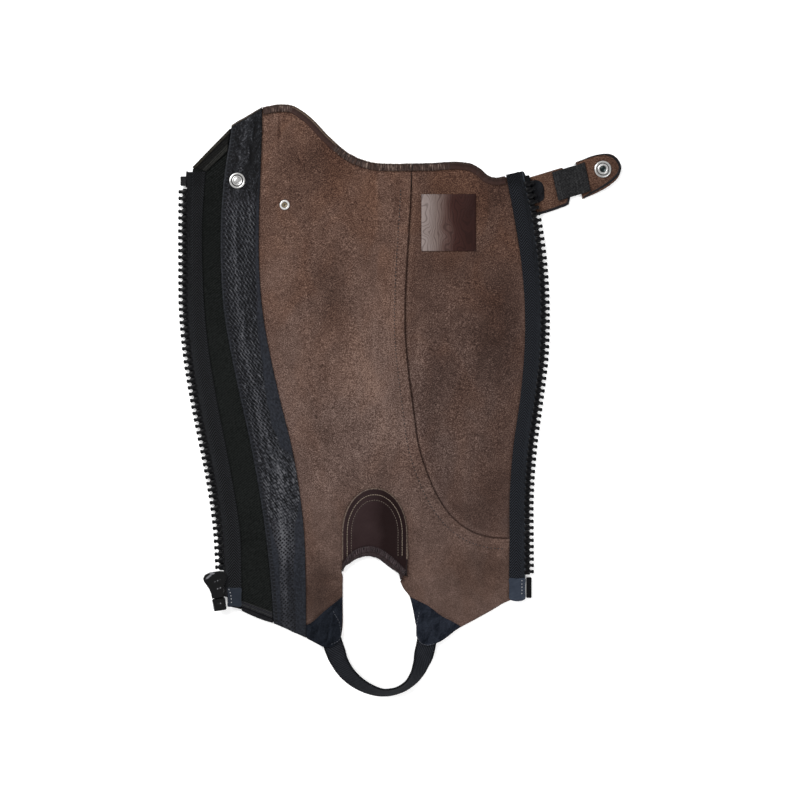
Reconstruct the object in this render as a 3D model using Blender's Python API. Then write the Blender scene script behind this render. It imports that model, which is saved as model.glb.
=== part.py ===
"""One half chap of a pair, opened out flat on a surface with its inner face up.

Run it with Blender 4.5.  The scene is in metres with +Z up; the tables below are in
millimetres.  +X crosses the garment from the stretch panel to the calf panel, and +Y
runs from the foot loop up to the knee edge.
"""
import math

import bmesh
import bpy
import numpy as np
from mathutils import Vector
from mathutils.geometry import delaunay_2d_cdt

MM = 0.001

# Thickness of each material, and the air left between two pieces that touch, in mm.
GAP = 0.3
LEATHER = 1.8
STRETCH = 1.2
FACING = 1.0
TAPE = 0.8
BINDING = 0.9
ARCH_LEATHER = 1.2
FOOT_ELASTIC = 1.5
PATCH_SUEDE = 1.0
LABEL = 0.5
FILM = 0.4
STRAP_ELASTIC = 1.2
STRAP_PATCH = 0.5

# Zip: how far the teeth reach past the tape, how thick they are, and the slider's parts.
TEETH_REACH = 7.1
TEETH_THICK = 3.4
SLIDER_CHANNEL = 3.95
SLIDER_SLOT = 1.6
SLIDER_PLATE = 1.5
SLIDER_TURN = math.radians(9.0)
SLIDER_AT = (-162.7, -163.8)
CROWN_BAR = 0.95
CROWN_WINDOW = 2.35
PULL_THICK = 1.4
PULL_PIN_FORWARD = 4.0
PULL_PIN_DROP = 1.25

# Seam allowances and hem widths, mm.
LAP = 11.0
JOINT_FROM_STRIP = 9.0
PANEL_FROM_RAIL = 2.5
STRETCH_FROM_RAIL = 5.0
KNEE_BINDING_WIDTH = 7.0
HIDDEN_LEAF = 0.85

# The upright lines of the garment: a row for each height, and the x of each line there.
COLUMNS = ("y", "rail_left", "tape_left", "strip_left", "strip_right", "tape_right", "rail_right")
SECTIONS = (
    (280, -189.0, -167.0, -146.0, -122.4, 79.0, 92.0),
    (240, -189.0, -170.0, -150.0, -122.4, 87.0, 102.0),
    (200, -189.3, -172.8, -155.8, -123.7, 94.8, 110.8),
    (160, -190.0, -175.6, -159.0, -125.2, 102.4, 119.1),
    (120, -190.0, -175.6, -159.2, -125.1, 108.7, 124.6),
    (80, -189.4, -173.6, -156.5, -122.1, 111.7, 126.6),
    (40, -185.8, -169.1, -149.8, -115.2, 111.0, 125.6),
    (0, -179.3, -162.4, -141.4, -106.3, 107.2, 120.9),
    (-40, -171.3, -154.7, -132.6, -96.4, 101.5, 115.6),
    (-80, -163.7, -147.5, -125.2, -89.3, 98.3, 112.6),
    (-120, -158.3, -141.5, -119.3, -84.9, 97.8, 112.2),
    (-160, -156.2, -140.6, -114.9, -83.6, 97.6, 112.4),
    (-200, -156.2, -140.6, -112.1, -83.4, 97.8, 112.4),
)

# Edges of the cut pieces, each a short run of (x, y) that a smooth line passes through.
KNEE_EDGE_FRONT = ((-122.0, 261.4), (-106.4, 263.9), (-95.7, 263.0), (-88.6, 259.4),
                   (-79.7, 252.8), (-61.9, 234.5), (-44.1, 219.8), (-26.3, 212.7),
                   (-8.5, 211.1), (10.8, 211.3))
KNEE_EDGE_CALF = ((11.3, 211.3), (27.0, 211.6), (56.5, 212.3), (65.4, 210.5), (71.6, 206.9),
                  (80.5, 199.8), (85.0, 198.6), (93.7, 199.9))
STRETCH_TOP = ((-184.7, 207.8), (-151.0, 242.4))
STRETCH_TOP_FOLD = ((-172.2, 203.9), (-153.2, 221.6))
STRIP_TOP = ((-149.6, 245.2), (-122.4, 261.2))
STRETCH_FOOT = ((-140.2, -187.2), (-128.6, -192.7), (-118.8, -196.5), (-112.8, -198.2))
STRETCH_FOOT_FOLD = ((-140.2, -178.0), (-127.0, -183.0), (-113.2, -188.2))
STRIP_FOOT = ((-112.1, -198.3), (-83.6, -211.2))
SEAM = ((10.8, 212.0), (9.8, 180.0), (7.6, 143.0), (5.2, 98.0), (4.9, 60.0), (7.6, 27.0),
        (11.6, -4.0), (17.8, -44.0), (24.5, -65.0), (34.0, -86.0), (46.0, -103.0),
        (60.0, -114.5), (76.0, -121.0), (96.0, -123.2), (109.6, -123.6))
ARCH_EDGE = ((-50.3, -152.6), (-48.5, -148.2), (-44.1, -145.1), (-39.6, -142.0),
             (-35.2, -140.2), (-28.9, -138.8), (-24.5, -139.3), (-19.1, -141.1),
             (-12.9, -145.5), (-6.7, -150.4), (-0.6, -155.0), (0.4, -159.8))
ARCH_FOLD = ((-51.3, -147.6), (-47.0, -139.8), (-41.0, -134.0), (-33.5, -130.6),
             (-26.0, -129.6), (-17.4, -131.7), (-8.5, -137.5), (-2.2, -142.9),
             (2.4, -147.4), (6.6, -151.6))
HEM_LEFT = ((-92.2, -206.4), (-80.0, -212.9), (-68.1, -219.2))
TIP_LEFT = ((-60.5, -219.2), (-53.5, -214.2), (-51.6, -207.8))
OPENING_LEFT = ((-50.5, -180.2), (-50.5, -156.4))
OPENING_RIGHT = ((0.5, -161.0), (3.4, -167.4), (7.5, -172.2), (11.6, -184.5), (15.0, -202.5))
TIP_RIGHT = ((15.0, -209.6), (17.8, -214.6), (25.0, -218.0), (33.4, -215.8))
HEM_RIGHT = ((53.8, -202.5), (75.2, -190.9), (87.7, -183.8), (98.2, -178.0), (109.9, -176.9))

# Arch patch: a round-topped shape given by its centre line, half width and two heights.
ARCH_CENTRE_X = -22.1
ARCH_HALF_WIDTH = 29.1
ARCH_SHOULDER_Y = -118.0
ARCH_TOP_Y = -77.9
ARCH_FEET = ((-51.2, -149.4), (6.9, -156.4))

LOOP_PATCH_LEFT = ((-50.9, -174.6), (-70.2, -190.6), (-78.4, -197.9), (-83.0, -200.4))
LOOP_PATCH_RIGHT = ((9.2, -174.9), (25.2, -182.9), (38.7, -192.7), (49.0, -198.0),
                    (54.4, -201.3))

# Foot elastic: where its middle runs and how far the band leans, so that its inner edge
# stands up where the loop turns.  The height is that of the leather it is sewn on.
ELASTIC_WIDTH = 17.6
ELASTIC_COLUMNS = ("x", "y", "lean", "on_leather")
ELASTIC_ROUTE = (
    (-64.0, -202.5, 0.0, 1), (-61.3, -210.5, 0.0, 1), (-57.4, -222.4, 0.0, 1),
    (-53.4, -231.6, 27.0, 0), (-46.4, -242.0, 37.0, 0), (-37.4, -249.9, 46.0, 0),
    (-27.1, -255.5, 54.0, 0), (-14.7, -258.7, 63.0, 0), (-3.1, -257.2, 65.0, 0),
    (7.6, -251.4, 62.0, 0), (14.6, -243.0, 51.0, 0), (19.2, -232.8, 35.0, 0),
    (22.3, -223.4, 0.0, 1), (25.2, -209.0, 0.0, 1), (27.2, -199.5, 0.0, 1),
)

# Strap on the outer face at the top of the calf side, its elastic, end tab and patch.
STRAP_BASE_TOP = ((100.0, 194.0), (116.1, 198.9), (133.9, 204.3), (144.6, 207.5))
STRAP_BASE_END = ((147.0, 205.6), (149.4, 192.0), (152.0, 177.6), (150.8, 174.6))
STRAP_BASE_FOOT = ((142.8, 171.3), (133.9, 168.2), (119.7, 164.2), (107.0, 161.8))
STRAP_ELASTIC_CORNERS = ((135.7, 203.2), (165.1, 212.1), (170.4, 186.5), (141.5, 177.6))
STRAP_TAB = ((157.1, 212.3), (169.5, 216.3), (178.4, 218.5), (186.5, 219.6), (193.6, 215.8),
             (196.8, 209.5), (195.2, 199.8), (187.3, 191.8), (178.4, 186.5), (162.9, 179.4))
STRAP_PATCH_EDGE = ((116.4, 195.0), (124.2, 196.0), (127.4, 193.0), (128.8, 185.4),
                    (128.8, 180.0), (126.6, 177.6), (119.6, 174.9))

# Small hardware: places and radii, mm.
STUD_AT = (-144.2, 195.3)
RIVET_AT = (-102.3, 174.0)
SNAP_AT = (180.9, 205.8)
POST_CLEARANCE = 0.4
STUD_POST = 1.5
RIVET_POST = 1.2
SNAP_POST = 1.8
STUD_DEPTH = 4.0
RIVET_DEPTH = 1.8
SNAP_DEPTH = 1.9

LABEL_CENTRE = (43.8, 158.4)
LABEL_SIZE = (48.5, 50.7)

TAPE_MIDDLE = STRETCH + GAP + TAPE / 2
CROWN_DEPTH = CROWN_BAR + CROWN_WINDOW
SLIDER_UNDER = GAP + CROWN_DEPTH
SLIDER_MIDDLE = SLIDER_UNDER + SLIDER_PLATE + SLIDER_CHANNEL / 2

# What holds the cloth off the surface: a run from (ax, ay) to (bx, by), how high the cloth
# lies over it, how far that height reaches and how far it then takes to die away.
LIFT_COLUMNS = ("what", "ax", "ay", "bx", "by", "height", "level", "fall")
LIFTS = (
    ("slider", -160.5, -156.0, -158.0, -180.0, SLIDER_MIDDLE - TAPE_MIDDLE, 10.0, 62.0),
    ("stud", *STUD_AT, *STUD_AT, STUD_DEPTH, 8.0, 54.0),
    ("rivet", *RIVET_AT, *RIVET_AT, RIVET_DEPTH, 6.0, 32.0),
    ("strap", 105.0, 192.0, 112.0, 168.0, LEATHER + GAP, 13.0, 44.0),
    ("shin fold", -46.0, 150.0, -40.0, -50.0, 3.0, 0.0, 46.0),
    ("calf fold", 62.0, 70.0, 54.0, -30.0, 2.2, 0.0, 46.0),
    ("stretch fold", -165.0, 80.0, -152.0, -10.0, 1.6, 0.0, 40.0),
)
EDGE_LEVEL = 13.0
EDGE_FALL = 24.0

# Colour (sRGB 0-255), roughness and metallic of each finish.
FINISHES = {
    "suede": ((96, 76, 66), 0.95, 0.0),
    "dark_leather": ((58, 42, 40), 0.42, 0.0),
    "binding_leather": ((66, 50, 46), 0.5, 0.0),
    "stretch_fabric": ((30, 31, 33), 0.9, 0.0),
    "facing_synthetic": ((52, 53, 57), 0.8, 0.0),
    "zip_tape": ((38, 41, 45), 0.85, 0.0),
    "zip_plastic": ((28, 28, 30), 0.35, 0.0),
    "zip_metal": ((34, 33, 35), 0.3, 0.6),
    "film": ((58, 66, 78), 0.35, 0.0),
    "patch_suede": ((34, 38, 46), 0.9, 0.0),
    "foot_elastic": ((50, 51, 56), 0.88, 0.0),
    "label": ((150, 143, 142), 0.6, 0.0),
    "silver_metal": ((200, 200, 202), 0.22, 1.0),
}


def smoothstep(t):
    t = np.clip(t, 0.0, 1.0)
    return t * t * (3.0 - 2.0 * t)


def fade(distance, level, fall):
    """1 out to the level distance, then down to 0 over the fall."""
    return 1.0 - smoothstep((distance - level) / fall)


def hermite(values, slopes, places, wanted):
    """Smooth curve through values at the given places, read at the wanted ones."""
    i = np.clip(np.searchsorted(places, wanted) - 1, 0, len(places) - 2)
    h = places[i + 1] - places[i]
    t = (wanted - places[i]) / h
    if values.ndim > 1:
        h, t = h[:, None], t[:, None]
    return ((1 + 2 * t) * (1 - t) ** 2 * values[i] + t * (1 - t) ** 2 * h * slopes[i]
            + t * t * (3 - 2 * t) * values[i + 1] - t * t * (1 - t) * h * slopes[i + 1])


def section(line, y):
    """The x of one upright line of the table at the heights y."""
    rows = np.array(SECTIONS)[::-1]
    values = rows[:, COLUMNS.index(line)]
    return hermite(values, np.gradient(values, rows[:, 0]), rows[:, 0], np.asarray(y, float))


def curve(points, step=None, count=None):
    """Points along a smooth line through the given ones, about one step apart."""
    points = np.array(points, float)
    along = np.concatenate([[0.0], np.cumsum(np.hypot(*np.diff(points, axis=0).T))])
    count = count or max(2, round(along[-1] / step) + 1)
    slopes = np.gradient(points, along, axis=0)
    return hermite(points, slopes, along, np.linspace(0.0, along[-1], count))


def upright(line, shift, start, end, step):
    """Points down one line of the table, moved sideways by the shift."""
    y = np.linspace(start, end, max(2, round(abs(start - end) / step) + 1))
    return np.stack([section(line, y) + shift, y], axis=1)


def normals(line):
    """Unit normals to the right of the way that the line runs."""
    tangent = np.gradient(line, axis=0)
    tangent /= np.linalg.norm(tangent, axis=1)[:, None]
    return np.stack([tangent[:, 1], -tangent[:, 0]], axis=1)


def beside(line, distance):
    """The line moved to its right by the distance."""
    return line + normals(line) * distance


def distance_to(xy, line):
    """Distance of each point from a line of points."""
    start, along = line[:-1], np.diff(line, axis=0)
    length_2 = np.maximum((along ** 2).sum(axis=1), 1e-9)
    t = np.clip(((xy[:, None] - start) * along).sum(axis=2) / length_2, 0.0, 1.0)
    return np.linalg.norm(xy[:, None] - start - t[..., None] * along, axis=2).min(axis=1)


def inside(xy, outline):
    """Whether each point is inside the closed outline."""
    following = np.roll(outline, -1, axis=0)
    x, y = xy[:, :1], xy[:, 1:]
    spans = (outline[:, 1] > y) != (following[:, 1] > y)
    rise = np.where(following[:, 1] == outline[:, 1], 1e-9, following[:, 1] - outline[:, 1])
    crossing = outline[:, 0] + (y - outline[:, 1]) / rise * (following[:, 0] - outline[:, 0])
    return (spans & (x < crossing)).sum(axis=1) % 2 == 1


def join(*stretches):
    """One closed outline from stretches of points, without doubled corners."""
    points = np.concatenate([np.atleast_2d(stretch) for stretch in stretches])
    apart = np.linalg.norm(points - np.roll(points, 1, axis=0), axis=1) > 0.4
    return points[apart]


SEAM_LINE = curve(SEAM, step=8.0)
ARCH_LINE = curve(ARCH_EDGE, count=19)
KNEE_FRONT = curve(KNEE_EDGE_FRONT, step=6.5)
KNEE_CALF = curve(KNEE_EDGE_CALF, step=6.0)
TOP_LINE = np.concatenate([np.array(STRETCH_TOP), np.array(STRIP_TOP), KNEE_FRONT, KNEE_CALF,
                           [[110.0, 203.6]]])
FOOT_LINE = np.concatenate([[[-151.0, -183.5]], np.array(STRETCH_FOOT)])


def lie(xy):
    """Height of the lowest layer of cloth over the surface it is laid on."""
    xy = np.atleast_2d(xy)
    total = np.zeros(len(xy))
    for _, ax, ay, bx, by, height, level, fall in LIFTS:
        away = distance_to(xy, np.array([[ax, ay], [bx, by]]))
        total += (height * fade(away, level, fall)) ** 3
    for edge in (TOP_LINE, FOOT_LINE, ARCH_LINE):
        total += ((BINDING + GAP) * fade(distance_to(xy, edge), EDGE_LEVEL, EDGE_FALL)) ** 3
    return np.cbrt(total)


def front_under(xy):
    """Underside of the front panel, which laps over the calf panel at the seam."""
    xy = np.atleast_2d(xy)
    lap = fade(distance_to(xy, SEAM_LINE), LAP + 2.0, 28.0)
    skived = smoothstep((distance_to(xy, TOP_LINE) - 9.0) / 14.0)
    return lie(xy) + (LEATHER + GAP) * lap * skived


def strip_under(xy):
    """Underside of the facing strip: up a step from the stretch panel onto the leather."""
    xy = np.atleast_2d(xy)
    from_right = section("strip_right", xy[:, 1]) - xy[:, 0]
    step = np.clip((JOINT_FROM_STRIP + 5.0 - from_right) / 4.0, 0.0, 1.0)
    return lie(xy) + STRETCH + GAP + (LEATHER - STRETCH) * step


def tape_right_under(xy):
    """Underside of the calf side's zip tape, which climbs over the lapped seam."""
    xy = np.atleast_2d(xy)
    away = distance_to(xy, SEAM_LINE)
    on_front = xy[:, 1] < SEAM[-1][1]
    climb = np.where(on_front, fade(away, LAP + 2.0, 28.0), fade(away, 2.0, 22.0))
    return lie(xy) + LEATHER + GAP + (LEATHER + GAP) * climb


def above(under, thickness):
    """The height function of a piece that lies on another."""
    return lambda xy: under(xy) + thickness + GAP


def srgb(colour):
    return [((c / 255 + 0.055) / 1.055) ** 2.4 if c > 10 else c / 255 / 12.92 for c in colour]


def make(name, mesh, finish, location=(0.0, 0.0, 0.0), turn=0.0):
    """Link a mesh as the named object, with a material of its own."""
    colour, roughness, metallic = FINISHES[finish]
    material = bpy.data.materials.new(name + "_" + finish)
    material.use_nodes = True
    shader = material.node_tree.nodes["Principled BSDF"]
    shader.inputs["Base Color"].default_value = (*srgb(colour), 1.0)
    shader.inputs["Roughness"].default_value = roughness
    shader.inputs["Metallic"].default_value = metallic
    mesh.materials.append(material)
    mesh.polygons.foreach_set("use_smooth", [True] * len(mesh.polygons))
    mesh.set_sharp_from_angle(angle=math.radians(35.0))
    item = bpy.data.objects.new(name, mesh)
    item.location = [c * MM for c in location]
    item.rotation_euler = (0.0, 0.0, turn)
    bpy.context.scene.collection.objects.link(item)
    return item


def mesh_of(name, vertices, faces):
    mesh = bpy.data.meshes.new(name)
    mesh.from_pydata((np.asarray(vertices, float) * MM).tolist(), [], faces)
    form = bmesh.new()
    form.from_mesh(mesh)
    bmesh.ops.recalc_face_normals(form, faces=form.faces)
    form.to_mesh(mesh)
    form.free()
    return mesh


def thicken(item, thickness):
    """Give a sheet its thickness, grown upwards from its underside."""
    solidify = item.modifiers.new("thickness", "SOLIDIFY")
    solidify.thickness = thickness * MM
    solidify.offset = 1.0
    return item


def open_sheet(name, vertices, faces, thickness, finish):
    """A sheet from its underside, whose faces all look up, grown to its thickness."""
    mesh = bpy.data.meshes.new(name)
    mesh.from_pydata((np.asarray(vertices, float) * MM).tolist(), [], faces)
    return thicken(make(name, mesh, finish), thickness)


def panel(name, outline, under, thickness, finish, spacing, holes=(), creases=()):
    """A cut piece: its outline filled with triangles, laid on the height function."""
    loops = [outline, *holes]
    points, edges = [], []
    for loop in loops:
        first = len(points)
        points += list(loop)
        edges += [(first + k, first + (k + 1) % len(loop)) for k in range(len(loop))]
    for line in creases:
        first = len(points)
        points += list(line)
        edges += [(first + k, first + k + 1) for k in range(len(line) - 1)]
    low, high = outline.min(axis=0), outline.max(axis=0)
    rows = np.arange(low[1] + spacing / 2, high[1], spacing * 0.87)
    across = np.arange(low[0], high[0] + spacing, spacing)
    grid = np.array([(x + (k % 2) * spacing / 2, y) for k, y in enumerate(rows) for x in across])
    grid = grid.reshape(-1, 2)
    grid = grid[inside(grid, outline)]
    for line in [np.concatenate([loop, loop[:1]]) for loop in loops] + list(creases):
        grid = grid[distance_to(grid, line) > spacing * 0.5]
    for hole in holes:
        grid = grid[~inside(grid, hole)]
    points += list(grid)
    result = delaunay_2d_cdt([Vector(p) for p in points], edges, [], 0, 1e-4)
    flat = np.array([tuple(v) for v in result[0]])
    faces = np.array([tuple(f) for f in result[2]])
    middles = flat[faces].mean(axis=1)
    kept = inside(middles, outline)
    for hole in holes:
        kept &= ~inside(middles, hole)
    faces = faces[kept]
    turned_down = np.cross(flat[faces[:, 1]] - flat[faces[:, 0]],
                           flat[faces[:, 2]] - flat[faces[:, 0]]) < 0
    faces[turned_down] = faces[turned_down][:, ::-1]
    used = np.unique(faces)
    renumber = np.full(len(flat), -1)
    renumber[used] = np.arange(len(used))
    heights = under(flat[used])
    vertices = np.column_stack([flat[used], heights])
    return open_sheet(name, vertices, renumber[faces].tolist(), thickness, finish)


def grid_faces(rows, columns):
    return [(r * columns + c, (r + 1) * columns + c, (r + 1) * columns + c + 1, r * columns + c + 1)
            for r in range(rows - 1) for c in range(columns - 1)]


def ribbon(name, left, right, under, thickness, finish, cells=2):
    """A long narrow sheet between two lines of points that run down the garment."""
    share = np.linspace(0.0, 1.0, cells + 1)[None, :, None]
    xy = (left[:, None] * (1 - share) + right[:, None] * share).reshape(-1, 2)
    vertices = np.column_stack([xy, under(xy)])
    return open_sheet(name, vertices, grid_faces(len(left), cells + 1), thickness, finish)


def edge_band(name, edge, fold, under, core, finish):
    """Binding folded round an edge: over the top as far as the fold, and back beneath."""
    toward = fold - edge
    depth = np.abs((toward * normals(edge)).sum(axis=1))[:, None]
    rise, corner = core + GAP, BINDING * 0.55
    hidden = depth * HIDDEN_LEAF
    profile = (
        (depth, rise + BINDING), (depth / 2, rise + BINDING), (corner, rise + BINDING),
        (0.0, rise + BINDING - corner), (0.0, -GAP - BINDING + corner), (corner, -GAP - BINDING),
        (hidden / 2, -GAP - BINDING), (hidden, -GAP - BINDING), (hidden, -GAP),
        (hidden / 2, -GAP), (BINDING, -GAP), (BINDING, rise), (depth / 2, rise), (depth, rise),
    )
    rings = []
    for reach, height in profile:
        xy = edge + toward * (reach / depth)
        rings.append(np.column_stack([xy, under(xy) + height]))
    vertices = np.stack(rings, axis=1).reshape(-1, 3)
    count, around = len(edge), len(profile)
    faces = [(r * around + k, r * around + (k + 1) % around,
              (r + 1) * around + (k + 1) % around, (r + 1) * around + k)
             for r in range(count - 1) for k in range(around)]
    faces += [tuple(range(around)), tuple(range((count - 1) * around, count * around))]
    return make(name, mesh_of(name, vertices, faces), finish)


def turned(name, profile, at, base, finish, segments=20):
    """A round piece spun from a closed run of (radius, height)."""
    form = bmesh.new()
    points = [form.verts.new((r * MM, 0.0, z * MM)) for r, z in profile]
    edges = [form.edges.new(pair) for pair in zip(points, points[1:])]
    if profile[0][0] > 0.0:
        edges.append(form.edges.new((points[-1], points[0])))
    bmesh.ops.spin(form, geom=points + edges, axis=(0, 0, 1), cent=(0, 0, 0),
                   angle=2 * math.pi, steps=segments, use_merge=True)
    bmesh.ops.remove_doubles(form, verts=form.verts, dist=0.000001)
    bmesh.ops.recalc_face_normals(form, faces=form.faces)
    mesh = bpy.data.meshes.new(name)
    form.to_mesh(mesh)
    form.free()
    return make(name, mesh, finish, (*at, base))


def block(name, size, at, middle, finish, turn=0.0, bevel=0.4):
    """A rounded block, given by its size and the place of its centre."""
    form = bmesh.new()
    bmesh.ops.create_cube(form, size=1.0)
    bmesh.ops.scale(form, vec=[c * MM for c in size], verts=form.verts)
    bmesh.ops.bevel(form, geom=form.edges, offset=bevel * MM, segments=2, affect="EDGES")
    mesh = bpy.data.meshes.new(name)
    form.to_mesh(mesh)
    form.free()
    return make(name, mesh, finish, (*at, middle), turn)


def height_at(under, at):
    return float(under(np.array([at], float))[0])


def circle(centre, radius, count=8):
    angle = np.arange(count) / count * 2 * math.pi
    return np.column_stack([centre[0] + radius * np.cos(angle), centre[1] + radius * np.sin(angle)])


def build_panels():
    """The three panels that wrap the calf: stretch panel, front panel and calf panel."""
    inset = BINDING + GAP
    joint = upright("strip_right", -JOINT_FROM_STRIP, 255.2, -206.0, 9.0)
    under_strip = np.array([(-150.7, 241.0), (-149.2, 244.2)])
    stretch = join(
        upright("rail_left", STRETCH_FROM_RAIL, -183.3, 205.8, 9.0),
        beside(curve(STRETCH_TOP, step=9.0), inset)[1:-1],
        under_strip,
        joint - (GAP / 2, 0.0),
        beside(curve(STRETCH_FOOT, step=8.0), -inset)[::-1],
    )
    stud_hole = circle(STUD_AT, STUD_POST + POST_CLEARANCE)
    panel("stretch_panel", stretch, lie, STRETCH, "stretch_fabric", 8.5, holes=[stud_hole],
          creases=[beside(curve(STRETCH_TOP_FOLD, step=8.0), 1.0)[1:-1]])

    arch = beside(ARCH_LINE, -inset)
    front = join(
        joint[::-1] + (GAP / 2, 0.0),
        beside(KNEE_FRONT, inset),
        SEAM_LINE[1:],
        upright("rail_right", -PANEL_FROM_RAIL, -127.5, -176.9, 8.0),
        curve(HEM_RIGHT, step=9.0)[::-1],
        curve(TIP_RIGHT, step=5.0)[::-1],
        curve(OPENING_RIGHT, step=8.0)[::-1],
        arch[::-1],
        curve(OPENING_LEFT, step=8.0)[::-1],
        curve(TIP_LEFT, step=5.0)[::-1],
        curve(HEM_LEFT, step=9.0)[::-1],
    )
    rivet_hole = circle(RIVET_AT, RIVET_POST + POST_CLEARANCE)
    panel("front_panel", front, front_under, LEATHER, "suede", 10.5, holes=[rivet_hole],
          creases=[beside(KNEE_FRONT, KNEE_BINDING_WIDTH + 1.0)[1:-1],
                   curve(ARCH_FOLD, step=7.0)[1:-1]])

    tongue_from = 3
    lap_edge = beside(SEAM_LINE[tongue_from:], LAP)
    calf = join(
        beside(SEAM_LINE[1:tongue_from + 1], -GAP),
        lap_edge,
        upright("rail_right", -PANEL_FROM_RAIL, SEAM[-1][1] - LAP + 5.0, 200.0, 9.0),
        beside(KNEE_CALF, inset)[::-1],
    )
    panel("calf_panel", calf, lie, LEATHER, "suede", 10.5,
          creases=[beside(KNEE_CALF, KNEE_BINDING_WIDTH + 1.0)[1:-1]])


def build_edges():
    """Hems and bindings round the knee edge, the stretch panel and the arch."""
    rows = 7
    edge_band("stretch_top_hem", curve(STRETCH_TOP, count=rows), curve(STRETCH_TOP_FOLD, count=rows),
              lie, STRETCH, "stretch_fabric")
    edge_band("stretch_foot_hem", curve(STRETCH_FOOT, count=rows),
              curve(STRETCH_FOOT_FOLD, count=rows), lie, STRETCH, "stretch_fabric")

    fold = beside(KNEE_FRONT, KNEE_BINDING_WIDTH)
    fold[0, 0] = KNEE_FRONT[0, 0]
    edge_band("knee_binding_front", KNEE_FRONT, fold, front_under, LEATHER, "binding_leather")
    edge_band("knee_binding_calf", KNEE_CALF, beside(KNEE_CALF, KNEE_BINDING_WIDTH), lie,
              LEATHER, "binding_leather")
    edge_band("arch_binding", ARCH_LINE, curve(ARCH_FOLD, count=len(ARCH_LINE)), front_under,
              LEATHER + GAP + ARCH_LEATHER, "binding_leather")


def build_strip_and_patches():
    """Pieces that lie on the panels: facing strip, label, arch patch and loop patches."""
    left = upright("strip_left", 0.0, STRIP_TOP[0][1], STRIP_FOOT[0][1], 9.0)
    right = upright("strip_right", 0.0, STRIP_TOP[1][1], STRIP_FOOT[1][1], 9.0)
    strip = join(left, curve(STRIP_FOOT, step=8.0), right[::-1], curve(STRIP_TOP, step=8.0)[::-1])
    creases = [upright("strip_right", -shift, 250.0, -205.0, 9.0)
               for shift in (JOINT_FROM_STRIP + 5.0, JOINT_FROM_STRIP + 1.0)]
    panel("facing_strip", strip, strip_under, FACING, "facing_synthetic", 8.5,
          holes=[circle(STUD_AT, STUD_POST + POST_CLEARANCE)], creases=creases)

    half_w, half_h = LABEL_SIZE[0] / 2, LABEL_SIZE[1] / 2
    corners = [(-half_w, -half_h), (half_w, -half_h), (half_w, half_h), (-half_w, half_h)]
    sides = [np.linspace(a, b, 6)[:-1] for a, b in zip(corners, corners[1:] + corners[:1])]
    panel("inside_label", np.concatenate(sides) + LABEL_CENTRE, above(lie, LEATHER), LABEL,
          "label", 10.0)

    angle = np.linspace(math.pi, 0.0, 19)
    top = np.column_stack([ARCH_CENTRE_X + ARCH_HALF_WIDTH * np.cos(angle),
                           ARCH_SHOULDER_Y + (ARCH_TOP_Y - ARCH_SHOULDER_Y) * np.sin(angle)])
    legs = [np.linspace(foot, top[end], 5) for foot, end in zip(ARCH_FEET, (0, -1))]
    arch = join(legs[0], top, legs[1][::-1],
                beside(ARCH_LINE, -BINDING - GAP)[2:-1][::-1])
    panel("arch_patch", arch, above(front_under, LEATHER), ARCH_LEATHER, "dark_leather", 7.0)

    on_leather = above(front_under, LEATHER)

    def over_elastic(ends):
        """Patch underside: up over the end of the foot elastic, down round it."""
        def under(xy):
            away = distance_to(xy, np.array(ends)) - ELASTIC_WIDTH / 2
            return on_leather(xy) + (FOOT_ELASTIC + GAP) * fade(away, 2.5, 7.0)
        return under

    strip_gap = upright("strip_right", GAP, -200.6, -211.0, 5.0)
    left_patch = join(curve(LOOP_PATCH_LEFT, step=6.0), strip_gap,
                      curve(HEM_LEFT, step=6.0)[2:], curve(TIP_LEFT, step=4.0),
                      curve([(-51.2, -200.0), (-50.7, -178.0)], step=6.0))
    panel("loop_patch_left", left_patch,
          over_elastic([row[:2] for row in ELASTIC_ROUTE[:3]]), PATCH_SUEDE, "patch_suede", 5.0)
    right_patch = join(curve(LOOP_PATCH_RIGHT, step=6.0), curve(TIP_RIGHT, step=4.0)[::-1],
                       curve(OPENING_RIGHT, step=6.0)[:3:-1])
    panel("loop_patch_right", right_patch,
          over_elastic([row[:2] for row in ELASTIC_ROUTE[-3:]]), PATCH_SUEDE, "patch_suede", 5.0)


def build_foot_elastic():
    """The elastic that passes under the foot, leaning over where the loop turns."""
    route = np.array(ELASTIC_ROUTE, float)
    middle = curve(route[:, :2], step=7.0)
    along = np.linspace(0.0, 1.0, len(middle))
    marks = np.concatenate([[0.0], np.cumsum(np.hypot(*np.diff(route[:, :2], axis=0).T))])
    lean = np.radians(np.interp(along, marks / marks[-1], route[:, 2]))
    sewn = smoothstep(np.interp(along, marks / marks[-1], route[:, 3]))
    half = ELASTIC_WIDTH / 2
    on_floor = half * np.sin(lean)
    height = np.maximum(on_floor, (LEATHER + GAP) * sewn + on_floor * (1 - sewn))
    out = normals(middle)
    share = np.linspace(-1.0, 1.0, 4)[None, :]
    reach = half * share * np.cos(lean)[:, None]
    xy = middle[:, None] - out[:, None] * reach[..., None]
    z = height[:, None] + half * share * np.sin(lean)[:, None]
    vertices = np.concatenate([xy, z[..., None]], axis=2).reshape(-1, 3)
    open_sheet("foot_elastic", vertices, grid_faces(len(middle), 4), FOOT_ELASTIC,
               "foot_elastic")


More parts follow.
